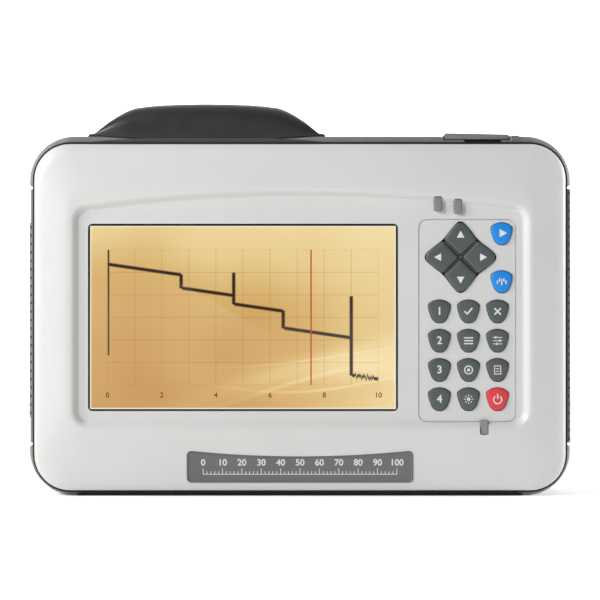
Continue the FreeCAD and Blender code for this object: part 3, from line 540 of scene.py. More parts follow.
# %% The crown's and the field's sizes
crown_wide, crown_tall, crown_corner, crown_mid = 217 * MM, 114 * MM, 12 * MM, 87.5 * MM
crown_rise = 3.6 * MM
rim_corner = 16.5 * MM
rim = front + crown_rise
field_low, field_high = 35 * MM, 133.2 * MM
field_left, field_right = -103 * MM, 103.8 * MM
field_bow, field_corner = 6.6 * MM, 5 * MM
field_deep, field_slope = 2.5 * MM, 2.9 * MM
field_floor = front + field_deep
wall, skin = 3 * MM, 2.5 * MM


def crown_ring(share, level):
    """An outline part of the way from the rim, 0, to the ridge, 1."""
    def blend(a, b):
        return a + (b - a) * share

    corner, centre = blend(rim_corner, crown_corner), (0, blend(cover_mid, crown_mid))
    cover_ring(blend(cover_wide, crown_wide), blend(cover_tall, crown_tall), corner, centre, level)


def field_ring(more, level):
    """The field's outline, grown by some way."""
    wide, tall = field_right - field_left + 2 * more, field_high - field_low + 2 * more
    centre = ((field_left + field_right) / 2, (field_low + field_high) / 2)
    cover_ring(wide, tall, field_corner + more, centre, level, field_bow)


# %% Bridge the cover, from its hollow back over the rim and the crown into the field
cover = begin("cover")
inner = (cover_wide - 2 * wall, cover_tall - 2 * wall, rim_corner - wall, (0, cover_mid))
cover_ring(*inner, field_floor + skin)
cover_ring(*inner, back - 0.4 * MM)
for share, depth in ((0, back - rim), (0, 2.2 * MM), (0.012, 1.1 * MM), (0.05, 0.35 * MM)):
    crown_ring(share, rim + depth)
for share in (0.12, 0.28, 0.46, 0.64, 0.8, 0.92, 1.0):
    rise = 0.72 * share + 0.28 * math.sin(share * math.pi / 2)
    crown_ring(share, rim - crown_rise * rise)
for more, depth in (
    (1.25, 0.02), (1.0, 0.1), (0.78, 0.35), (0.3, 1.6), (0.12, 2.15), (0.0, 2.4), (-0.3, 2.5)
):
    field_ring(more * field_slope, front + depth * MM)
print("cover outlines:", bridge_rings(RING_POINTS))

# %% [markdown]
# ## Holes in the cover
# The screen, the keys and the lenses each sit in a hole or a shallow pocket. The keypad's own
# panel is barely sunk, and a fine groove runs round it. Cutting them out of the finished skin
# keeps its smooth faces, so each cutter is a plain block with the outline of its hole.

# %% The keys' outline and places
key_size, blue_size, key_gap = 10.9 * MM, 10.5 * MM, 0.3 * MM
blue_keys = ["start_key", "live_key"]
arrow_keys = ["arrow_up", "arrow_right", "arrow_down", "arrow_left"]
key_sizes = {name: key_size for name in sorted(nodes) if name.startswith("grid_key")}
key_sizes.update({name: blue_size for name in blue_keys})
key_middles = {name: centre_of(name) for name in key_sizes}
arrow_mid = [sum(centre_of(name)[axis] for name in arrow_keys) / 4 for axis in (0, 1)]
arrow_reach, arrow_waist = 17.5 * MM, 0.9 * MM
print("keys:", len(key_sizes) + len(arrow_keys))


def shield_points(size, centre, more=0.0):
    """A key's outline: a wide bowed top, sides that draw in, a rounded foot."""
    half = size / 2 + more
    points = [
        (-0.52, 0.88), (-0.96, 0.58), (-0.88, 0.05), (-0.62, -0.66), (-0.26, -0.97),
        (0.26, -0.97), (0.62, -0.66), (0.88, 0.05), (0.96, 0.58), (0.52, 0.88), (0.0, 0.99),
    ]
    return [(centre[0] + x * half, centre[1] + z * half) for x, z in points]


def shield(points, level):
    """The outline as a face, its corners cut until they are round."""
    point_face(points, level, 0.9 * MM, 5)


def diamond_points(half):
    """The arrows' outline: four tips, full sides, and waists that are drawn in."""
    x, z = arrow_mid
    waist = half / 2 - arrow_waist
    along, out = 0.247 * half, 0.738 * half
    points = [(0, half), (-along, out), (-waist, waist), (-out, along)]
    points += [(-b, a) for a, b in points]
    points += [(-a, -b) for a, b in points]
    return [(x + a, z + b) for a, b in points]


# %% Cut the holes
screen_low, screen_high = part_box("screen_window")
screen_mid = centre_of("screen_window")
screen_size = (screen_high.x - screen_low.x, screen_high.z - screen_low.z)
pad_size, pad_mid, pad_corner = (45.4 * MM, 94.4 * MM), (77.7 * MM, 81.8 * MM), 4 * MM
pad_sunk, groove_wide, groove_deep = 0.22 * MM, 0.4 * MM, 0.5 * MM
through = field_floor + skin + 2 * MM
tip_round = 2.9 * MM
lens_size, lens_corner = (4 * MM, 6.9 * MM), MM
lens_middles = [(64.1 * MM, 136.1 * MM), (73.3 * MM, 134.9 * MM), (85.5 * MM, 32.2 * MM)]


def sunk_block(size, centre, corner, less, depth):
    """A block let into the field's floor, its sides drawn in."""
    sizes = [side - 2 * less for side in size]
    return slab("block", *sizes, corner - less, centre, field_floor - MM, field_floor + depth)


def key_hole(outline, *settings):
    """A hole through the field; outline(..., level) adds its face."""
    hole = begin("hole")
    outline(*settings)
    push(through - field_floor + MM)
    return hole


groove = sunk_block(pad_size, pad_mid, pad_corner, 0, groove_deep)
cut_away(groove, sunk_block(pad_size, pad_mid, pad_corner, groove_wide, 3 * MM))
screen_pocket = sunk_block(screen_size, screen_mid, 1.85 * MM, -0.15 * MM, 1.6 * MM)
cut_away(cover, screen_pocket, sunk_block(pad_size, pad_mid, pad_corner, 0, pad_sunk), groove)
level = field_floor - MM
holes = [
    sunk_block(screen_size, screen_mid, 3.2 * MM, 2.2 * MM, 6 * MM),
    key_hole(point_face, diamond_points(arrow_reach + key_gap * 1.4), level, tip_round, 6),
]
for name, size in key_sizes.items():
    holes.append(key_hole(shield, shield_points(size, key_middles[name], key_gap), level))
for spot in lens_middles:
    holes.append(slab("hole", *lens_size, lens_corner, spot, front - MM, through))
cut_away(cover, joined(*holes))
print("holes:", len(holes))

# %% [markdown]
# ## Keys
# Each key is one soft moulding: a small foot that presses the switch, a flange behind the
# cover that stops it, and a cap that stands through its hole, with a narrow sloping edge round
# a slightly domed top. A real key shows that edge as a thin bright line, so one outline is
# extruded from the foot to the top in small steps that spread or draw in, as its mould does.

# %% A key from its outline
key_top, foot_back = (corner.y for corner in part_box("start_key"))
flange_back, flange_front = field_floor + skin + 1.1 * MM, field_floor + skin + 0.1 * MM
foot_share = 0.3
key_edge = ((0.62, 0.0), (0.52, 0.05), (0.25, 0.3375), (0.18, 0.495))
key_dome = ((0.5, 0.75), (0.2, 0.5), (0.0, 0.25), (0.0, 0.05))


def key_profile(half, flange, dish):
    """Levels and reaches from the foot to the top of a key."""
    steps = [(flange_back, foot_share * half), (flange_back, half + flange)]
    steps += [(flange_front, half + flange), (flange_front, half)]
    steps += [(key_top + depth * MM, half - drawn_in * MM) for depth, drawn_in in key_edge]
    return steps + [(key_top + depth * dish, share * half) for depth, share in key_dome]


def key_piece(name, half, centre, flange, dish, outline):
    """Model one key; outline(level) adds its face."""
    piece = begin(name)
    outline(foot_back)
    stretch(foot_share, 1, foot_share, (centre[0], foot_back, centre[1]))
    old_level, old_reach = foot_back, foot_share * half
    for level, reach in key_profile(half, flange, dish):
        push(level - old_level)
        stretch(reach / old_reach, 1, reach / old_reach, (centre[0], level, centre[1]))
        old_level, old_reach = level, reach
    return piece


for name, size in key_sizes.items():
    spot = key_middles[name]
    points = shield_points(size, spot)
    piece = key_piece(
        name + "_cap", size / 2, spot, 0.7 * MM, 0.16 * MM, lambda level, p=points: shield(p, level)
    )
    dressed(piece, slots[name], body=name, stands_for=[name])

# %% [markdown]
# ## Arrow keys
# The four arrow keys are quarters of one diamond that draws in a little between its tips.
# Each is a square stood on its corner, with full outer sides and a flattened tip, and a thin
# cross of the keypad's mat fills the ways between them. One key is modelled at the top; the
# others are copies turned about the diamond's middle, each with its own mesh.

# %% Four petals from one
petal_gap = 0.9 * MM
petal_half = (arrow_reach * math.sqrt(0.5) - petal_gap / 2) / 2
petal_shift = (petal_half + petal_gap / 2) * math.sqrt(2)
petal_mid = (arrow_mid[0], arrow_mid[1] + petal_shift)
tip_cut = 1.5 * MM


def petal_face(level):
    """One quarter: full sides outside, slightly hollow sides inside, rounded corners."""
    out = petal_half * math.sqrt(2)
    full, hollow = out / 2 - 0.3 * arrow_waist, out / 2 - 0.15 * MM
    left = [
        (-tip_cut, out - tip_cut), (-out / 2, full), (arrow_waist - out, -arrow_waist), (-hollow, -hollow)
    ]
    right = [(-a, b) for a, b in reversed(left)]
    points = left + [(0, 0.35 * MM - out)] + right
    point_face([(petal_mid[0] + a, petal_mid[1] + b) for a, b in points], level, 0.85 * MM, 4)


def turned_copy(piece, name, quarter):
    """A copy with its own mesh, turned about the diamond's middle by quarter turns."""
    copy = piece.copy()
    copy.data = piece.data.copy()
    copy.name = copy.data.name = name
    link(copy)
    edit(copy)
    select_all()
    turned(90 * quarter, (arrow_mid[0], 0, arrow_mid[1]))
    return copy


petals = [key_piece("arrow_up_cap", petal_half, petal_mid, 0.3 * MM, 0.12 * MM, petal_face)]
bare()
for quarter, name in enumerate(arrow_keys[1:], 1):
    petals.append(turned_copy(petals[0], name + "_cap", quarter))
for name, piece in zip(arrow_keys, petals):
    dressed(piece, "key_grey", body=name, stands_for=[name])

# %% The cross between them, with its small knob
cross_long = (arrow_reach - 2 * arrow_waist) * math.sqrt(2) * 0.93
cross_wide, knob_size = 0.44 * MM, 1.7 * MM
cross = begin("arrow_cross")
place = (arrow_mid[0], key_top + 0.55 * MM, arrow_mid[1])
for quarter in range(2):
    plane(cross_long, cross_wide, place)
    turned(-45 - 90 * quarter, place)
    push((0.9 - 0.05 * quarter) * MM)
knob = begin("knob")
point_face(shield_points(knob_size, arrow_mid), key_top + 0.3 * MM, 0.3 * MM, 3)
push(0.8 * MM)
dressed(joined(cross, knob), "key_grey")

# %% [markdown]
# ## Legends on the keys
# The legends are printed in a pale ink. Plain numbers name the four function keys, and the
# rest are everyday signs. The shader could paint them, but thin raised ink is crisp at any
# size and rides on its key. Each sign is drawn flat from bars and rings about the middle of
# the key, in millimetres, and then gets its thickness.

# %% Bars, rings and triangles
def bar(x, z, wide, tall, turn=0.0):
    """A flat bar, in millimetres and degrees."""
    place = (x * MM, 0, z * MM)
    plane(wide * MM, tall * MM, place)
    turned(turn, place)


def circle(x, z, radius, fill, steps):
    select_none()
    bpy.ops.mesh.primitive_circle_add(
        vertices=steps, radius=radius * MM, fill_type=fill, location=(x * MM, 0, z * MM), rotation=FACING
    )


def band(z, radius, width, gap=0.0):
    """A flat ring, open at the top over gap degrees."""
    place = (0, 0, z * MM)
    circle(0, z, radius, "NOTHING", 32)
    bpy.ops.mesh.extrude_region_move()
    share = (radius - width) / radius
    stretch(share, 1, share, place)

    def in_gap(face):
        way = middle(face) - Vector(place)
        return abs(math.degrees(math.atan2(way.x, way.z))) < gap / 2 and way.length < radius * 1.1 * MM

    if gap:
        select_all()
        bpy.ops.mesh.normals_make_consistent()
        pick("FACE", in_gap)
        bpy.ops.mesh.delete(type="FACE")


def triangle(x, z, size, turn=0.0):
    """A flat triangle that points up before it is turned."""
    points = [(0, 0.58), (-0.5, -0.32), (0.5, -0.32)]
    point_face([((x + a * size) * MM, (z + b * size) * MM) for a, b in points], 0)
    turned(turn, (x * MM, 0, z * MM))


# %% Thickness, and numbers
ink_thick, ink_proud = 0.22 * MM, 0.05 * MM
hair = 0.008 * MM


def thicken(piece, centre, level):
    """Give a flat sign its thickness and put it on a face."""
    select_all()
    push(ink_thick)
    select_all()
    shift(centre[0], level - ink_proud, centre[1])
    return piece


def lettering(name, words, size, centre, level, bold):
    """Plain numbers as a mesh; four copies a hair apart make them bold."""
    strokes = []
    for step, (x, z) in enumerate(((-bold, 0), (bold, 0), (0, bold), (0, -bold))):
        bare()
        bpy.ops.object.text_add(rotation=FACING)
        stroke = bpy.context.object
        stroke.name = stroke.data.name = name
        stroke.data.body, stroke.data.size = words, size
        stroke.data.align_x, stroke.data.align_y = "CENTER", "CENTER"
        stroke.data.extrude = ink_thick / 2
        bpy.ops.object.convert(target="MESH")
        bpy.ops.object.transform_apply(location=True, rotation=True, scale=True)
        edit(stroke)
        select_all()
        shift(centre[0] + x, level - ink_proud + ink_thick / 2 + step * hair, centre[1] + z)
        outwards(stroke)
        strokes.append(stroke)
    return joined(*strokes)


# %% Draw the signs
def bars(*rows):
    """A sign that is only bars."""
    return lambda: [bar(*row) for row in rows]


def target_ring():
    band(0, 2.1, 0.55)
    circle(0, 0, 0.72, "NGON", 20)


def lamp_sign():
    circle(0, 0, 0.85, "NGON", 20)
    for number in range(8):
        angle = number * math.pi / 4
        bar(1.75 * math.sin(angle), 1.75 * math.cos(angle), 0.36, 0.95, -math.degrees(angle))


def power():
    band(-0.2, 2.15, 0.55, gap=62)
    bar(0, 1.35, 0.58, 2.3)


def play():
    triangle(0.25, 0.3, 3.9, 90)


tick = bars((0.45, 0.1, 3.9, 0.75, -50), (-1.25, -0.55, 1.9, 0.75, 45))
cross_sign = bars((0, 0, 4.2, 0.75, 45), (0, 0, 4.2, 0.75, -45))
menu = bars(*((0, z, 4.2, 0.62) for z in (1.35, 0, -1.35)))
slider_places = ((1.5, -0.9), (0, 1.0), (-1.5, -0.3))
sliders = bars(*(row for z, x in slider_places for row in ((0, z, 4.4, 0.38), (x, z, 0.7, 1.15))))
page = bars(
    (-1.45, 0, 0.42, 4.2), (1.45, 0, 0.42, 4.2), (0, -1.9, 3.2, 0.42), (0, 1.9, 3.2, 0.42),
    (0, -0.65, 1.7, 0.38), (0, 0.55, 1.7, 0.38),
)
wave_rows = ((-2, -0.25, 1.7), (-1, 0.85, 1.7), (0, -0.25, 2.9), (1, 0.85, 1.7), (2, -0.25, 1.7))
wave = bars(*((x, z, 0.55, tall) for x, z, tall in wave_rows))
signs = {
    "grid_key_1b": tick, "grid_key_1c": cross_sign, "grid_key_2b": menu, "grid_key_2c": sliders,
    "grid_key_3b": target_ring, "grid_key_3c": page, "grid_key_4b": lamp_sign,
    "grid_key_4c": power, "start_key": play, "live_key": wave,
}

# %% Put them on the keys
sign_reach = 10.2 * MM
for name, draw in signs.items():
    piece = begin(name + "_sign")
    draw()
    dressed(thicken(piece, key_middles[name], key_top), slots[name], "pale_ink", body=name)
for number in range(1, 5):
    name = f"grid_key_{number}a"
    sign = lettering(name + "_sign", str(number), 5.0 * MM, key_middles[name], key_top, 0.12 * MM)
    dressed(sign, "key_grey", "pale_ink", body=name)
for quarter, name in enumerate(arrow_keys):
    way = math.pi / 2 * quarter
    spot = (arrow_mid[0] + sign_reach * math.sin(way), arrow_mid[1] + sign_reach * math.cos(way))
    piece = begin(name + "_sign")
    triangle(0, 0, 3.6, 90 * quarter)
    dressed(thicken(piece, spot, key_top), "key_grey", "pale_ink", body=name)

# %% [markdown]
# ## The screen
# Behind a glass window the display shows a warm golden picture with a dark trace that steps
# down along a fibre, as such instruments draw it. It is light and not relief, so the shader
# makes it: a ramp of golds over a slow gradient, soft bands and fine curves, a grid, the trace
# and a cursor. Each line is a distance from a curve, cut off softly.

# %% The golden ground
screen_paint = Paint("screen_glass")
spread = {"Vector": screen_paint.place}
x = screen_paint.node("SeparateXYZ", {}, spread, 0)
z = screen_paint.node("SeparateXYZ", {}, spread, 2)
across = (x - (screen_mid[0] - screen_size[0] / 2)) / screen_size[0]
up = (z - (screen_mid[1] - screen_size[1] / 2)) / screen_size[1]


def swoosh(height, swing, width, pace, phase):
    """1 on a slow wave across the picture, 0 beyond some width from it."""
    curve = across.maths("SINE", across * pace + height * phase) * swing + height
    return 1 - abs(up - curve).between(0.0, width)


glow = 0.22 + up * up * 0.55 + across * across * (1 - up * 0.55) * 0.62
for height, swing, width in ((0.26, 0.10, 0.16), (0.12, -0.14, 0.10)):
    glow = glow + swoosh(height, swing, width, 4.4, 9) * across * 0.2
glow = glow + (screen_paint.noise(60 * MM, 1.0) - 0.5) * 0.5
for height, swing, width in ((0.22, 0.12, 0.012), (0.10, -0.15, 0.02), (0.30, 0.07, 0.008)):
    glow = glow + swoosh(height, swing, width, 3.6, 11) * across.between(0.2, 0.9) * 0.22
golds = ((190, 134, 74), (206, 156, 88), (222, 182, 112), (240, 212, 150), (250, 226, 172))
ground = screen_paint.node("ValToRGB", {}, {"Fac": glow})
stops = ground.socket.node.color_ramp.elements
while len(stops) < len(golds):
    stops.new(1.0)
for number, (stop, gold) in enumerate(zip(stops, golds)):
    stop.position, stop.color = number / 4, (*linear(*gold), 1.0)

# %% Grid, trace, cursor, frame and a painted highlight on the glass edge
events = ((0.30, 0.07, 0.0), (0.47, 0.045, 0.12), (0.63, 0.09, 0.0), (0.85, 0.20, 0.22))
start_height, trace_fall = 0.80, 0.24


def line(offset, width):
    return 1 - abs(offset).between(width * 0.35, width)


def grid_lines(value, first, half_step, width):
    return line(value.maths("PINGPONG", value - first, half_step), width)


def inside_frame(wide):
    """1 inside an even frame round the picture, 0 on it."""
    share_x, share_z = (wide * MM / size for size in screen_size)
    soft_x, soft_z = (0.25 * MM / size for size in screen_size)
    return across.within(share_x, 1 - share_x, soft_x) * up.within(share_z, 1 - share_z, soft_z)


inside = across.within(0.06, 0.94, 0.005) * up.within(0.135, 0.865, 0.005)
grid = grid_lines(across, 0.0625, 0.04375, 0.0016) + grid_lines(up, 0.1375, 0.060417, 0.0026)
shown = screen_paint.mixed(grid * inside * 0.35, ground, linear(150, 104, 52))

level, height = start_height - across * trace_fall, start_height
uprights = [(0.0625, 0.30, 0.90)]
for place, drop, peak in events:
    before = height - trace_fall * place
    level = level - across.between(place, place + 0.002) * drop
    height -= drop
    uprights.append((place, before - drop, before + peak))
shiver = {"W": across, "Scale": 260.0, "Detail": 1.0}
shiver = screen_paint.node("TexNoise", {"noise_dimensions": "1D"}, shiver)
level = level + (shiver - 0.5) * across.between(0.855, 0.86) * 0.05
trace = line(up - level, 0.014)
for place, low, high in uprights:
    upright = line(across - place, 0.0085) * up.within(low - 0.006, high + 0.006, 0.006)
    trace = trace.maths("MAXIMUM", trace, upright)
shown = screen_paint.mixed(trace * inside, shown, linear(52, 34, 26))
shown = screen_paint.mixed(line(across - 0.72, 0.0032) * inside, shown, linear(196, 40, 30))
# A pale line just inside the black frame is a painted highlight of the glass edge.
shown = screen_paint.mixed(inside_frame(1.25), linear(252, 246, 216), shown)
shown = screen_paint.mixed(inside_frame(0.75), linear(14, 14, 10), shown)
finishes["screen_glass"] = screen_paint.done(
    Base_Color=linear(20, 18, 16), Emission_Color=shown, Emission_Strength=0.93,
    Roughness=0.08, Specular_IOR_Level=0.35,
)
print("nodes in the picture:", len(screen_paint.tree.nodes))

# %% The glass, and the numbers along the picture
screen = slab("screen", *screen_size, 1.85 * MM, screen_mid, screen_low.y, screen_high.y)
pick("EDGE", lambda e: abs(middle(e).y - screen_low.y) < 0.01 * MM)
bpy.ops.mesh.bevel(offset=0.25 * MM, segments=3, affect="EDGES")
dressed(screen, "screen_glass", stands_for=["screen_window"])
for number in range(6):
    share = 0.0625 + 0.175 * number - 0.5
    spot = (screen_mid[0] + share * screen_size[0], screen_low.z + 7.2 * MM)
    words = str(number * 2)
    label = lettering(f"screen_number_{number}", words, 3.4 * MM, spot, screen_low.y, 0.05 * MM)
    dressed(label, "screen_glass", "screen_ink")

# %% [markdown]
# ## The name plate
# Below the screen a grey plate lies on the cover's lower slope. Its upper edge dips in the
# middle, a narrow raised rim runs round it, and it carries a plain ruler with numbers. It is
# drawn flat, given its rim by two insets, and then tilted as one about its middle.

# %% The plate and its rim
plate_low, plate_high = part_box("name_plate")
plate_wide, plate_tall = plate_high.x - plate_low.x, 14.7 * MM
plate_mid = centre_of("name_plate")
plate_tilt = math.atan(crown_rise / (crown_mid - crown_tall / 2 - cover_low.z))
plate_level = (plate_low.y + plate_high.y) / 2
plate_dip = 2.6 * MM


def tilted():
    """Lay the whole piece in hand on the slope."""
    place = (plate_mid[0], plate_level, plate_mid[1])
    select_all()
    bpy.ops.transform.rotate(value=-plate_tilt, orient_axis="X", center_override=place)


def plate_face(more, level):
    """The plate's outline, grown by some way, as a face."""
    wide, tall, corner = plate_wide + 2 * more, plate_tall + 2 * more, 2 * MM + more
    rounded_face(wide, tall, corner, plate_mid, level, 6)
    pick("EDGE", lambda e: e.calc_length() > plate_wide / 2)
    bpy.ops.mesh.subdivide(number_cuts=15)

    def dip(vertex):
        share = (vertex.co.x - plate_mid[0]) / (wide / 2 - corner)
        if vertex.co.z > plate_mid[1] + tall / 2 - 0.01 * MM and abs(share) < 1:
            vertex.co.z -= plate_dip * (1 - share * share)

    each_point(dip)
    pick("FACE", lambda f: True)


pocket = begin("pocket")
plate_face(0.15 * MM, plate_level)
push(-4 * MM)
tilted()
cut_away(cover, pocket)
dressed(cover, "white_shell", stands_for=["front_cover"])

plate = begin("name_plate_front")
plate_face(0, plate_level - 0.1 * MM)
push(-0.75 * MM)
inset(0.5 * MM)
inset(0.25 * MM)
shift(y=0.25 * MM)
tilted()
dressed(plate, "plate_grey", stands_for=["name_plate"])

# %% The plate's ruler
ruler_half, ruler_steps = 45, 50
plate_top = plate_level - 0.6 * MM
ruler = begin("name_plate_ruler")
for number in range(ruler_steps + 1):
    long = 2.6 if number % 5 == 0 else 1.3
    bar(-ruler_half + 2 * ruler_half * number / ruler_steps, -3.4 + long / 2, 0.32, long)
bar(0, -3.5, 2 * ruler_half + 0.3, 0.3)
thicken(ruler, plate_mid, plate_top)
tilted()
dressed(ruler, "plate_grey", "pale_ink")
for number in range(11):
    spot = (plate_mid[0] + (-ruler_half + 9 * number) * MM, plate_mid[1] + 1.9 * MM)
    label = lettering(f"plate_number_{number}", str(number * 10), 4.2 * MM, spot, plate_top, 0.1 * MM)
    edit(label)
    tilted()
    dressed(label, "plate_grey", "pale_ink")

# %% [markdown]
# ## The handle
# The handle is a soft arch over the top left of the case: a front wall that laps over the
# case's upper edge, a rounded top, two flat feet, and room behind for the fingers. A bent tube
# wouldn't have its broad front, so it is a row of cross-sections from one foot to the other,
# bridged into one skin. A block with rounded shoulders is then taken out of it from behind.

# %% Cross-sections of the handle
grip_low, grip_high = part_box("handle_grip")
grip_mid, grip_half = centre_of("handle_grip")[0], (grip_high.x - grip_low.x) / 2
case_top = grip_low.z
SECTION_POINTS = 28
arch = [
    (1.0, 0.7), (0.99, 1.15), (0.95, 1.35), (0.925, 2.4), (0.89, 4.1), (0.83, 6.8), (0.755, 9.6),
    (0.68, 12.0), (0.61, 13.5), (0.5, 14.35), (0.36, 14.95), (0.2, 15.3), (0.0, 15.4),
]
lip_drop, front_bulge = 2.2 * MM, 2.2 * MM


def arc(y, z, radius, start):
    """Points of a quarter turn about (y, z), from start degrees on."""
    steps = SECTION_POINTS // 4 - 1
    turns = [math.radians(start + 90 * step / steps) for step in range(steps + 1)]
    return [(y + radius * math.cos(turn), z + radius * math.sin(turn)) for turn in turns]


def section(x, low, high, front_level, back_level):
    """An outline across the handle: broad and round at its top front, crisp at its foot."""
    tall = high - low
    top_round, back_round = min(0.55 * tall, 7.5 * MM), min(0.4 * tall, 4 * MM)
    foot_round = min(0.3 * tall, MM)
    points = arc(back_level - back_round, high - back_round, back_round, 0)
    points += arc(front_level + top_round, high - top_round, top_round, 90)
    points += arc(front_level + foot_round, low + foot_round, foot_round, 180)
    points += arc(back_level - foot_round, low + foot_round, foot_round, 270)
    select_none()
    bpy.ops.mesh.primitive_circle_add(vertices=SECTION_POINTS, radius=MM, rotation=ACROSS)
    place_selected([(x, y, z) for y, z in points])


handle = begin("handle")
for share, height in [(-share, height) for share, height in arch] + arch[-2::-1]:
    drop = lip_drop * max(0.0, 1 - (share / 0.93) ** 2)
    front_level = grip_low.y + MM - front_bulge * min(1, height / 10)
    section(grip_mid + share * grip_half, case_top - drop, case_top + height * MM, front_level, grip_high.y)
print("handle sections:", bridge_rings(SECTION_POINTS))

# %% The room for the fingers
hollow = begin("hollow")
hollow_half, wall_level = grip_half - 17 * MM, grip_low.y + 5 * MM
shoulder, roof = hollow_half - 8 * MM, case_top + 9 * MM
points = [
    (-hollow_half, case_top - 4 * MM), (hollow_half, case_top - 4 * MM), (hollow_half, case_top + 3 * MM),
    (shoulder, roof), (-shoulder, roof), (-hollow_half, case_top + 3 * MM),
]
point_face([(grip_mid + x, z) for x, z in points], wall_level, 2.4 * MM, 5)
push(grip_high.y - wall_level + MM)
cut_away(handle, hollow)
dressed(handle, "handle_rubber", stands_for=["handle_grip"])

# %% [markdown]
# ## The seam between cover and shell
# A soft black gasket is squeezed between the white cover and the grey shell. Its lip is grown out
# past the cover into a thin black ring, which paints the seam's shadow as a dark line. Painted
# on the shell the line would be wrong from the side, so the lip is a flat ring, a little wider than the
# cover.

# %% The gasket's lip, grown out to paint the seam's shadow
lip_more = 1.15 * MM
lip_front, lip_back = back - 0.7 * MM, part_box("rear_shell")[0].y + 0.05 * MM


def cover_block(name, more, front_level, back_level):
    """A block with the cover's outline, grown by some way."""
    wide, tall = cover_wide + 2 * more, cover_tall + 2 * more
    return slab(name, wide, tall, rim_corner + more, (0, cover_mid), front_level, back_level, 10)


# A black ring, a little wider than the cover, paints the shadow in the seam as a thin dark line.
seam_shadow_lip = cover_block("seam_shadow_lip", lip_more, lip_front, lip_back)
cut_away(seam_shadow_lip, cover_block("mouth", -MM, lip_front - MM, lip_back + MM))
dressed(seam_shadow_lip, "black_rubber")

# %% [markdown]
# ## Indicator lenses
# Three little light guides stand in the cover. Each is a clear grey rod with a rounded front
# edge, made from its outline: extruded, then drawn in twice so that the edge catches the light.

# %% Model the lenses
lens_low, lens_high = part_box("indicator_lenses")
lens_gap = 0.08 * MM
for number, spot in enumerate(lens_middles):
    lens = begin(f"lens_{number + 1}")
    rounded_face(lens_size[0] - 2 * lens_gap, lens_size[1] - 2 * lens_gap, lens_corner, spot, lens_high.y)
    push(lens_low.y + 0.45 * MM - lens_high.y)
    for thickness, depth in ((0.12, 0.3), (0.25, 0.12), (0.5, 0.03)):
        inset(thickness * MM)
        shift(y=-depth * MM)
    dressed(lens, "lens_grey", stands_for=() if number else ["indicator_lenses"])

# %% [markdown]
# ## Side grips
# A rubber strip lies in each side of the case, between the corner guards, and small pits in
# rows give it hold; the first row shows from the front. The left strip also has a raised pad.
# Each strip is a cube stretched to its place with the edges that matter bevelled, the pad a
# second one merged with it, and the pits are small stretched balls taken out of both.

# %% Blocks with soft edges
def block(low, high):
    """Add a block between two corners, given in millimetres; it is left selected."""
    place = [(a + b) / 2 * MM for a, b in zip(low, high)]
    select_none()
    bpy.ops.mesh.primitive_cube_add(size=1, location=place)
    stretch(*[(b - a) * MM for a, b in zip(low, high)], place)


def soften(test, radius, steps):
    """Bevel the edges whose middle, in millimetres, passes a test."""
    pick("EDGE", lambda e: test(middle(e) / MM))
    bpy.ops.mesh.bevel(offset=radius * MM, segments=steps, affect="EDGES")


def soft_block(name, low, high, radius, test=lambda m: True, steps=3):
    piece = begin(name)
    block(low, high)
    soften(test, radius, steps)
    return piece


# %% Strips with pits
strip_low, strip_high = (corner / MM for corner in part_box("side_grip_left"))
pit_pitch, pit_rows = 3.95, ((125.75, -26.0), (126.4, -20.5), (126.4, -14.5), (126.4, -8.5))
pad_span = ((124.5, -25.9, 36.5), (126.5, -3.0, 127.6))


def pits(side, low, high):
    """Balls in rows along a strip on one side, -1 or 1."""
    made = begin("pits")
    count = int((high - low) / pit_pitch) + 1
    start = (low + high - (count - 1) * pit_pitch) / 2
    for step in range(count):
        for x, y in pit_rows:
            place = (side * x * MM, y * MM, (start + step * pit_pitch) * MM)
            select_none()
            bpy.ops.mesh.primitive_uv_sphere_add(segments=10, ring_count=6, radius=0.5 * MM, location=place)
            stretch(0.9 if y < -25 else 1.2, 2.4, 1.5, place)
    return made


def side_block(name, side, low, high, radius):
    """A block on one side of the case, softened round its outer face."""
    (x1, y1, z1), (x2, y2, z2) = low, high
    corners = (min(side * x1, side * x2), y1, z1), (max(side * x1, side * x2), y2, z2)
    return soft_block(name, *corners, radius, lambda m: abs(m.x) > x2 - 0.01)


def grip(name, node, side, outer, padded):
    span = strip_low.z, strip_high.z
    inner = (-strip_high.x, strip_low.y, strip_low.z)
    strip = side_block(name, side, inner, (outer, strip_high.y, strip_high.z), 0.6)
    if padded:
        span = pad_span[0][2], pad_span[1][2]
        merged(strip, side_block("pad", side, *pad_span, 0.5))
    cut_away(strip, pits(side, span[0] + 2, span[1] - 2))
    dressed(strip, "grey_rubber", stands_for=[node])


grip("left_grip", "side_grip_left", -1, 126.05, True)
grip("right_grip", "side_grip_right", 1, 126.5, False)

# %% [markdown]
# ## Dark bars that paint shade in the seams
# A black bar under the front edge paints the shade along the case's bottom, a dark strip on the
# rounded top edge paints the handle's shadow, and a black strip in the slit below the port flap
# paints the slit's shade. All three are thin bars whose ends are drawn in, so that they run out gently.

# %% Three bars with drawn-in ends
def rail(name, low, high, slot, finish, end, up):
    """A bar whose ends run out towards its lower edge, up = -1, or its upper one."""
    piece = begin(name)
    block(low, high)
    for way in (-end, -end / 3, end / 3, end):
        at = (low[0] - way) if way < 0 else (high[0] - way)
        select_all()
        bpy.ops.mesh.bisect(plane_co=(at * MM, 0, 0), plane_no=(1, 0, 0))
    still = low[2] if up < 0 else high[2]

    def run_out(vertex):
        x, z = vertex.co.x / MM, vertex.co.z / MM
        near = min(x - low[0], high[0] - x) / end
        if abs(z - still) > 0.01 and near < 1:
            vertex.co.z = (still + (z - still) * (0.3 + 0.7 * max(near, 0) ** 0.6)) * MM

    each_point(run_out)
    soften(lambda m: m.y < low[1] + 0.01, 0.35, 3)
    dressed(piece, slot, finish)


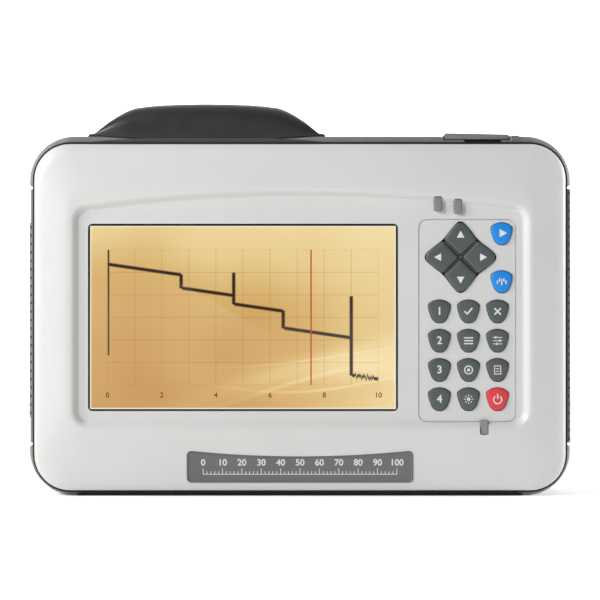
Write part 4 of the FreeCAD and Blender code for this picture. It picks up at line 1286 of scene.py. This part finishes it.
# Painted shade: a black bar along the bottom front edge, where the case lies in shade.
rail("bottom_shade_bar", (-104, -26.55, 0.05), (104, -23.0, 2.75), "black_rubber", None, 12, -1)
# Painted shadow: a dark strip on the top edge under the handle, where the handle's shadow falls.
rail("handle_shadow_strip", (-99, -26.4, 164.3), (11.7, -23.0, 167.0), "handle_rubber", "dark_rubber", 24, -1)
# Painted shade: a black strip in the slit below the port flap, where the deep slit lies in shade.
rail("slit_shade_strip", (77, -25.2, 165.35), (93.8, -23.5, 166.35), "black_rubber", None, 3, 1)

# %% [markdown]
# ## The port flap
# The dust flap lies over the optical ports: a thin lid that is thicker at its pull end on the
# left, a lip over the front edge of the case, a hollow plug that fills the well, and a
# knuckled barrel. Its lid is drawn from the front as a profile and extruded to the back.

# %% Lid, lip, plug and barrel
flap_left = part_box("port_flap")[0].x / MM
case_top_mm = case_top / MM
lid_under, lid_split, lid_end = case_top_mm + 0.3, -12.5, 97.5
pivot = (100.2 * MM, 2 * MM, (case_top_mm - 1) * MM)


def lid_part(name, right, front_mm, back_mm):
    """The lid's profile, over some of its depth."""
    points = [
        (flap_left, lid_under), (right, lid_under), (right, lid_under + 0.5),
        (flap_left + 3.4, lid_under + 1.05), (flap_left + 0.6, lid_under + 1.08),
        (flap_left, lid_under + 0.6),
    ]
    piece = begin(name)
    point_face([(x * MM, z * MM) for x, z in points], front_mm * MM)
    push((back_mm - front_mm) * MM)
    return piece


flap = lid_part("flap", lid_end, -25.9, lid_split)
lip = soft_block("lip", (flap_left + 0.3, -26.0, 166.45), (lid_end, -24.4, lid_under + 0.45), 0.35,
                 lambda m: m.y < -25.9 or m.x < 68)
barrel = rod("barrel", 1.6 * MM, 28 * MM, pivot, FACING, 24)
cut_away(barrel, rod("pin_hole", 0.65 * MM, 32 * MM, pivot, FACING, 16))
plug = begin("plug")
block((71.0, -10.0, case_top_mm - 0.9), (96.0, 14.0, lid_under + 0.2))
pick("FACE", lambda f: middle(f).z / MM < case_top_mm)
inset(1.2 * MM)
bpy.ops.mesh.extrude_region_move(TRANSFORM_OT_translate={"value": (0, 0, 1.05 * MM)})
flap_back = lid_part("flap_back", pivot[0] / MM, lid_split, 16.5)
flap_parts = [flap, flap_back, lip, plug, barrel]
for part in flap_parts:
    outwards(part)
dressed(joined(*flap_parts), "grey_shell", body="port_flap", stands_for=["port_flap"], smooth=40)

# %% Ribs beside the hinge
rib_top, rib_back = case_top_mm + 0.45, -23.4
seat = (98.6, -26.02, case_top_mm - 3.2), (102.5, rib_back, case_top_mm + 0.2)
ribs = []
for step in range(4):
    x = 98.9 + step * 0.95
    low, high = (x, -26.25, case_top_mm - 3.0), (x + 0.5, rib_back, rib_top)
    ribs.append(soft_block("hinge_rib", low, high, 0.18, steps=2))
ribs.append(soft_block("hinge_rib", *seat, 0.3))
for rib in ribs:
    outwards(rib)
dressed(joined(*ribs), "grey_shell")

# %% [markdown]
# ## The back: battery cover and stand
# A screwed cover closes the battery bay: a rounded plate with a sloping edge, three finger
# grooves, a shallow field for a label and two sunk screws. The folding stand below it is a
# frame round a window, with a barrel along its top.

# %% Battery cover
lid_low, lid_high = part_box("battery_lid")
lid_mid, lid_face = (0, centre_of("battery_lid")[1]), lid_high.y
screw_x, screw_z = 61 * MM, centre_of("lid_screws")[1]
edge_slope = 0.5 * MM
battery_cover = begin("battery_cover")
rounded_face(lid_high.x - lid_low.x, lid_high.z - lid_low.z, 3 * MM, lid_mid, lid_low.y)
push(lid_face - lid_low.y - edge_slope)
inset(edge_slope)
shift(y=edge_slope)
cutters = []
for side in (-1, 1):
    for radius, depth in ((2.4, 1.2), (1.25, 4.0)):
        place = (side * screw_x, lid_face, screw_z)
        cutters.append(rod("hole", radius * MM, 2 * depth * MM, place, FACING, 32))
for number in range(3):
    spot = (0, lid_mid[1] + (number * 3 - 20) * MM)
    cutters.append(slab("groove", 24 * MM, 1.4 * MM, 0.6 * MM, spot, lid_face - 0.8 * MM, lid_face + MM))
spot = (0, lid_mid[1] + 6 * MM)
cutters.append(slab("label", 84 * MM, 26 * MM, 2 * MM, spot, lid_face - 0.3 * MM, lid_face + MM))
cut_away(battery_cover, *cutters)
dressed(battery_cover, "grey_shell", stands_for=["battery_lid"])

# %% Folding stand
stand_low, stand_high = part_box("kickstand")
stand_wide = stand_high.x - stand_low.x
stand_axis = (stand_low.y + stand_high.y) / 2
stand_foot, stand_top, stand_thick = 14 * MM, 78 * MM, 3.6 * MM
stand_pivot = (0, stand_axis, stand_top)


def stand_block(name, less, corner, half_thick):
    """A block with the stand's outline, drawn in by some way."""
    wide, tall = stand_wide - 2 * less, stand_top - stand_foot - 2 * less
    centre = (0, (stand_top + stand_foot) / 2)
    return slab(name, wide, tall, corner, centre, stand_axis - half_thick, stand_axis + half_thick)


stand = stand_block("stand", 0, 4 * MM, stand_thick / 2 - edge_slope)
for normal in (-1, 1):
    pick("FACE", lambda f: len(f.verts) > 8 and f.normal.y * normal > 0.9)
    inset(edge_slope)
    shift(y=normal * edge_slope)
merged(stand, rod("stand_barrel", 2 * MM, stand_wide, stand_pivot, ACROSS, 28))
window = stand_block("window", 13 * MM, 6 * MM, 4 * MM)
cut_away(stand, window, rod("pin_hole", 1.05 * MM, 100 * MM, stand_pivot, ACROSS, 20))
dressed(stand, "stand_black", body="kickstand", stands_for=["kickstand"])

# %% [markdown]
# ## Stage and light
# The stage is a pale floor before a shining white backdrop. Two small lamps at the upper left
# model the crown and throw soft shadows to the right of the keys, one beside the case lights
# its right edge, and a broad one overhead keeps the floor bright. The camera stands far away,
# level with the middle of the case, so that there is hardly any perspective.

# %% Floor and backdrop
def sheet(name, size, place, turn, shine):
    """A square that shines a little by itself, as lit paper does."""
    bare()
    bpy.ops.mesh.primitive_plane_add(size=size, location=place, rotation=turn)
    made = bpy.context.object
    made.name = name
    made.data.materials.append(moulded(name, linear(246, 246, 246), 0.8, drift=0.005))
    shader = made.data.materials[0].node_tree.nodes["Principled BSDF"]
    shader.inputs["Emission Color"].default_value = (1, 1, 1, 1)
    shader.inputs["Emission Strength"].default_value = shine
    return made


floor = sheet("floor", 6, (0, 0, 0), (0, 0, 0), 0.22)
backdrop = sheet("backdrop", 3, (0, 1.6, 1.5), FACING, 0.9)
floor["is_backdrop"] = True
backdrop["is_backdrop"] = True

# %% Lamps, camera and surround
case_middle = Vector((0, 0, (cad_low.z + cad_high.z) / 2))
for name, place, size, power_w in (
    ("key_lamp", (-1.5, -0.55, 0.75), 0.25, 14),
    ("front_lamp", (-1.05, -0.95, 0.85), 0.2, 18),
    ("edge_lamp", (1.6, 0.12, 0.45), 0.4, 27),
    ("ceiling", (0, 0.1, 1.6), 1.6, 4),
):
    data = bpy.data.lights.new(name, "AREA")
    data.size, data.energy = size, power_w
    lamp = bpy.data.objects.new(name, data)
    link(lamp)
    lamp.location = place
    lamp.rotation_euler = (case_middle - Vector(place)).to_track_quat("-Z", "Y").to_euler()

camera = bpy.data.objects.new("camera", bpy.data.cameras.new("camera"))
link(camera)
camera.data.lens = 180
camera.location = (0, -1.4285, 0.0914)
camera.rotation_euler = FACING
bpy.context.scene.camera = camera

world = bpy.data.worlds.new("surround")
bpy.context.scene.world = world
world.use_nodes = True
sky = world.node_tree.nodes["Background"]
sky.inputs["Color"].default_value = (1, 1, 1, 1)
sky.inputs["Strength"].default_value = 0.06
bpy.context.scene.view_settings.view_transform = "Standard"

# %% [markdown]
# ## The last check
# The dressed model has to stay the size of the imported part, so both boxes are written down.

# %% Sizes and finish
low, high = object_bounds()
print("visual box:", [round(v / MM, 1) for v in (*low, *high)])
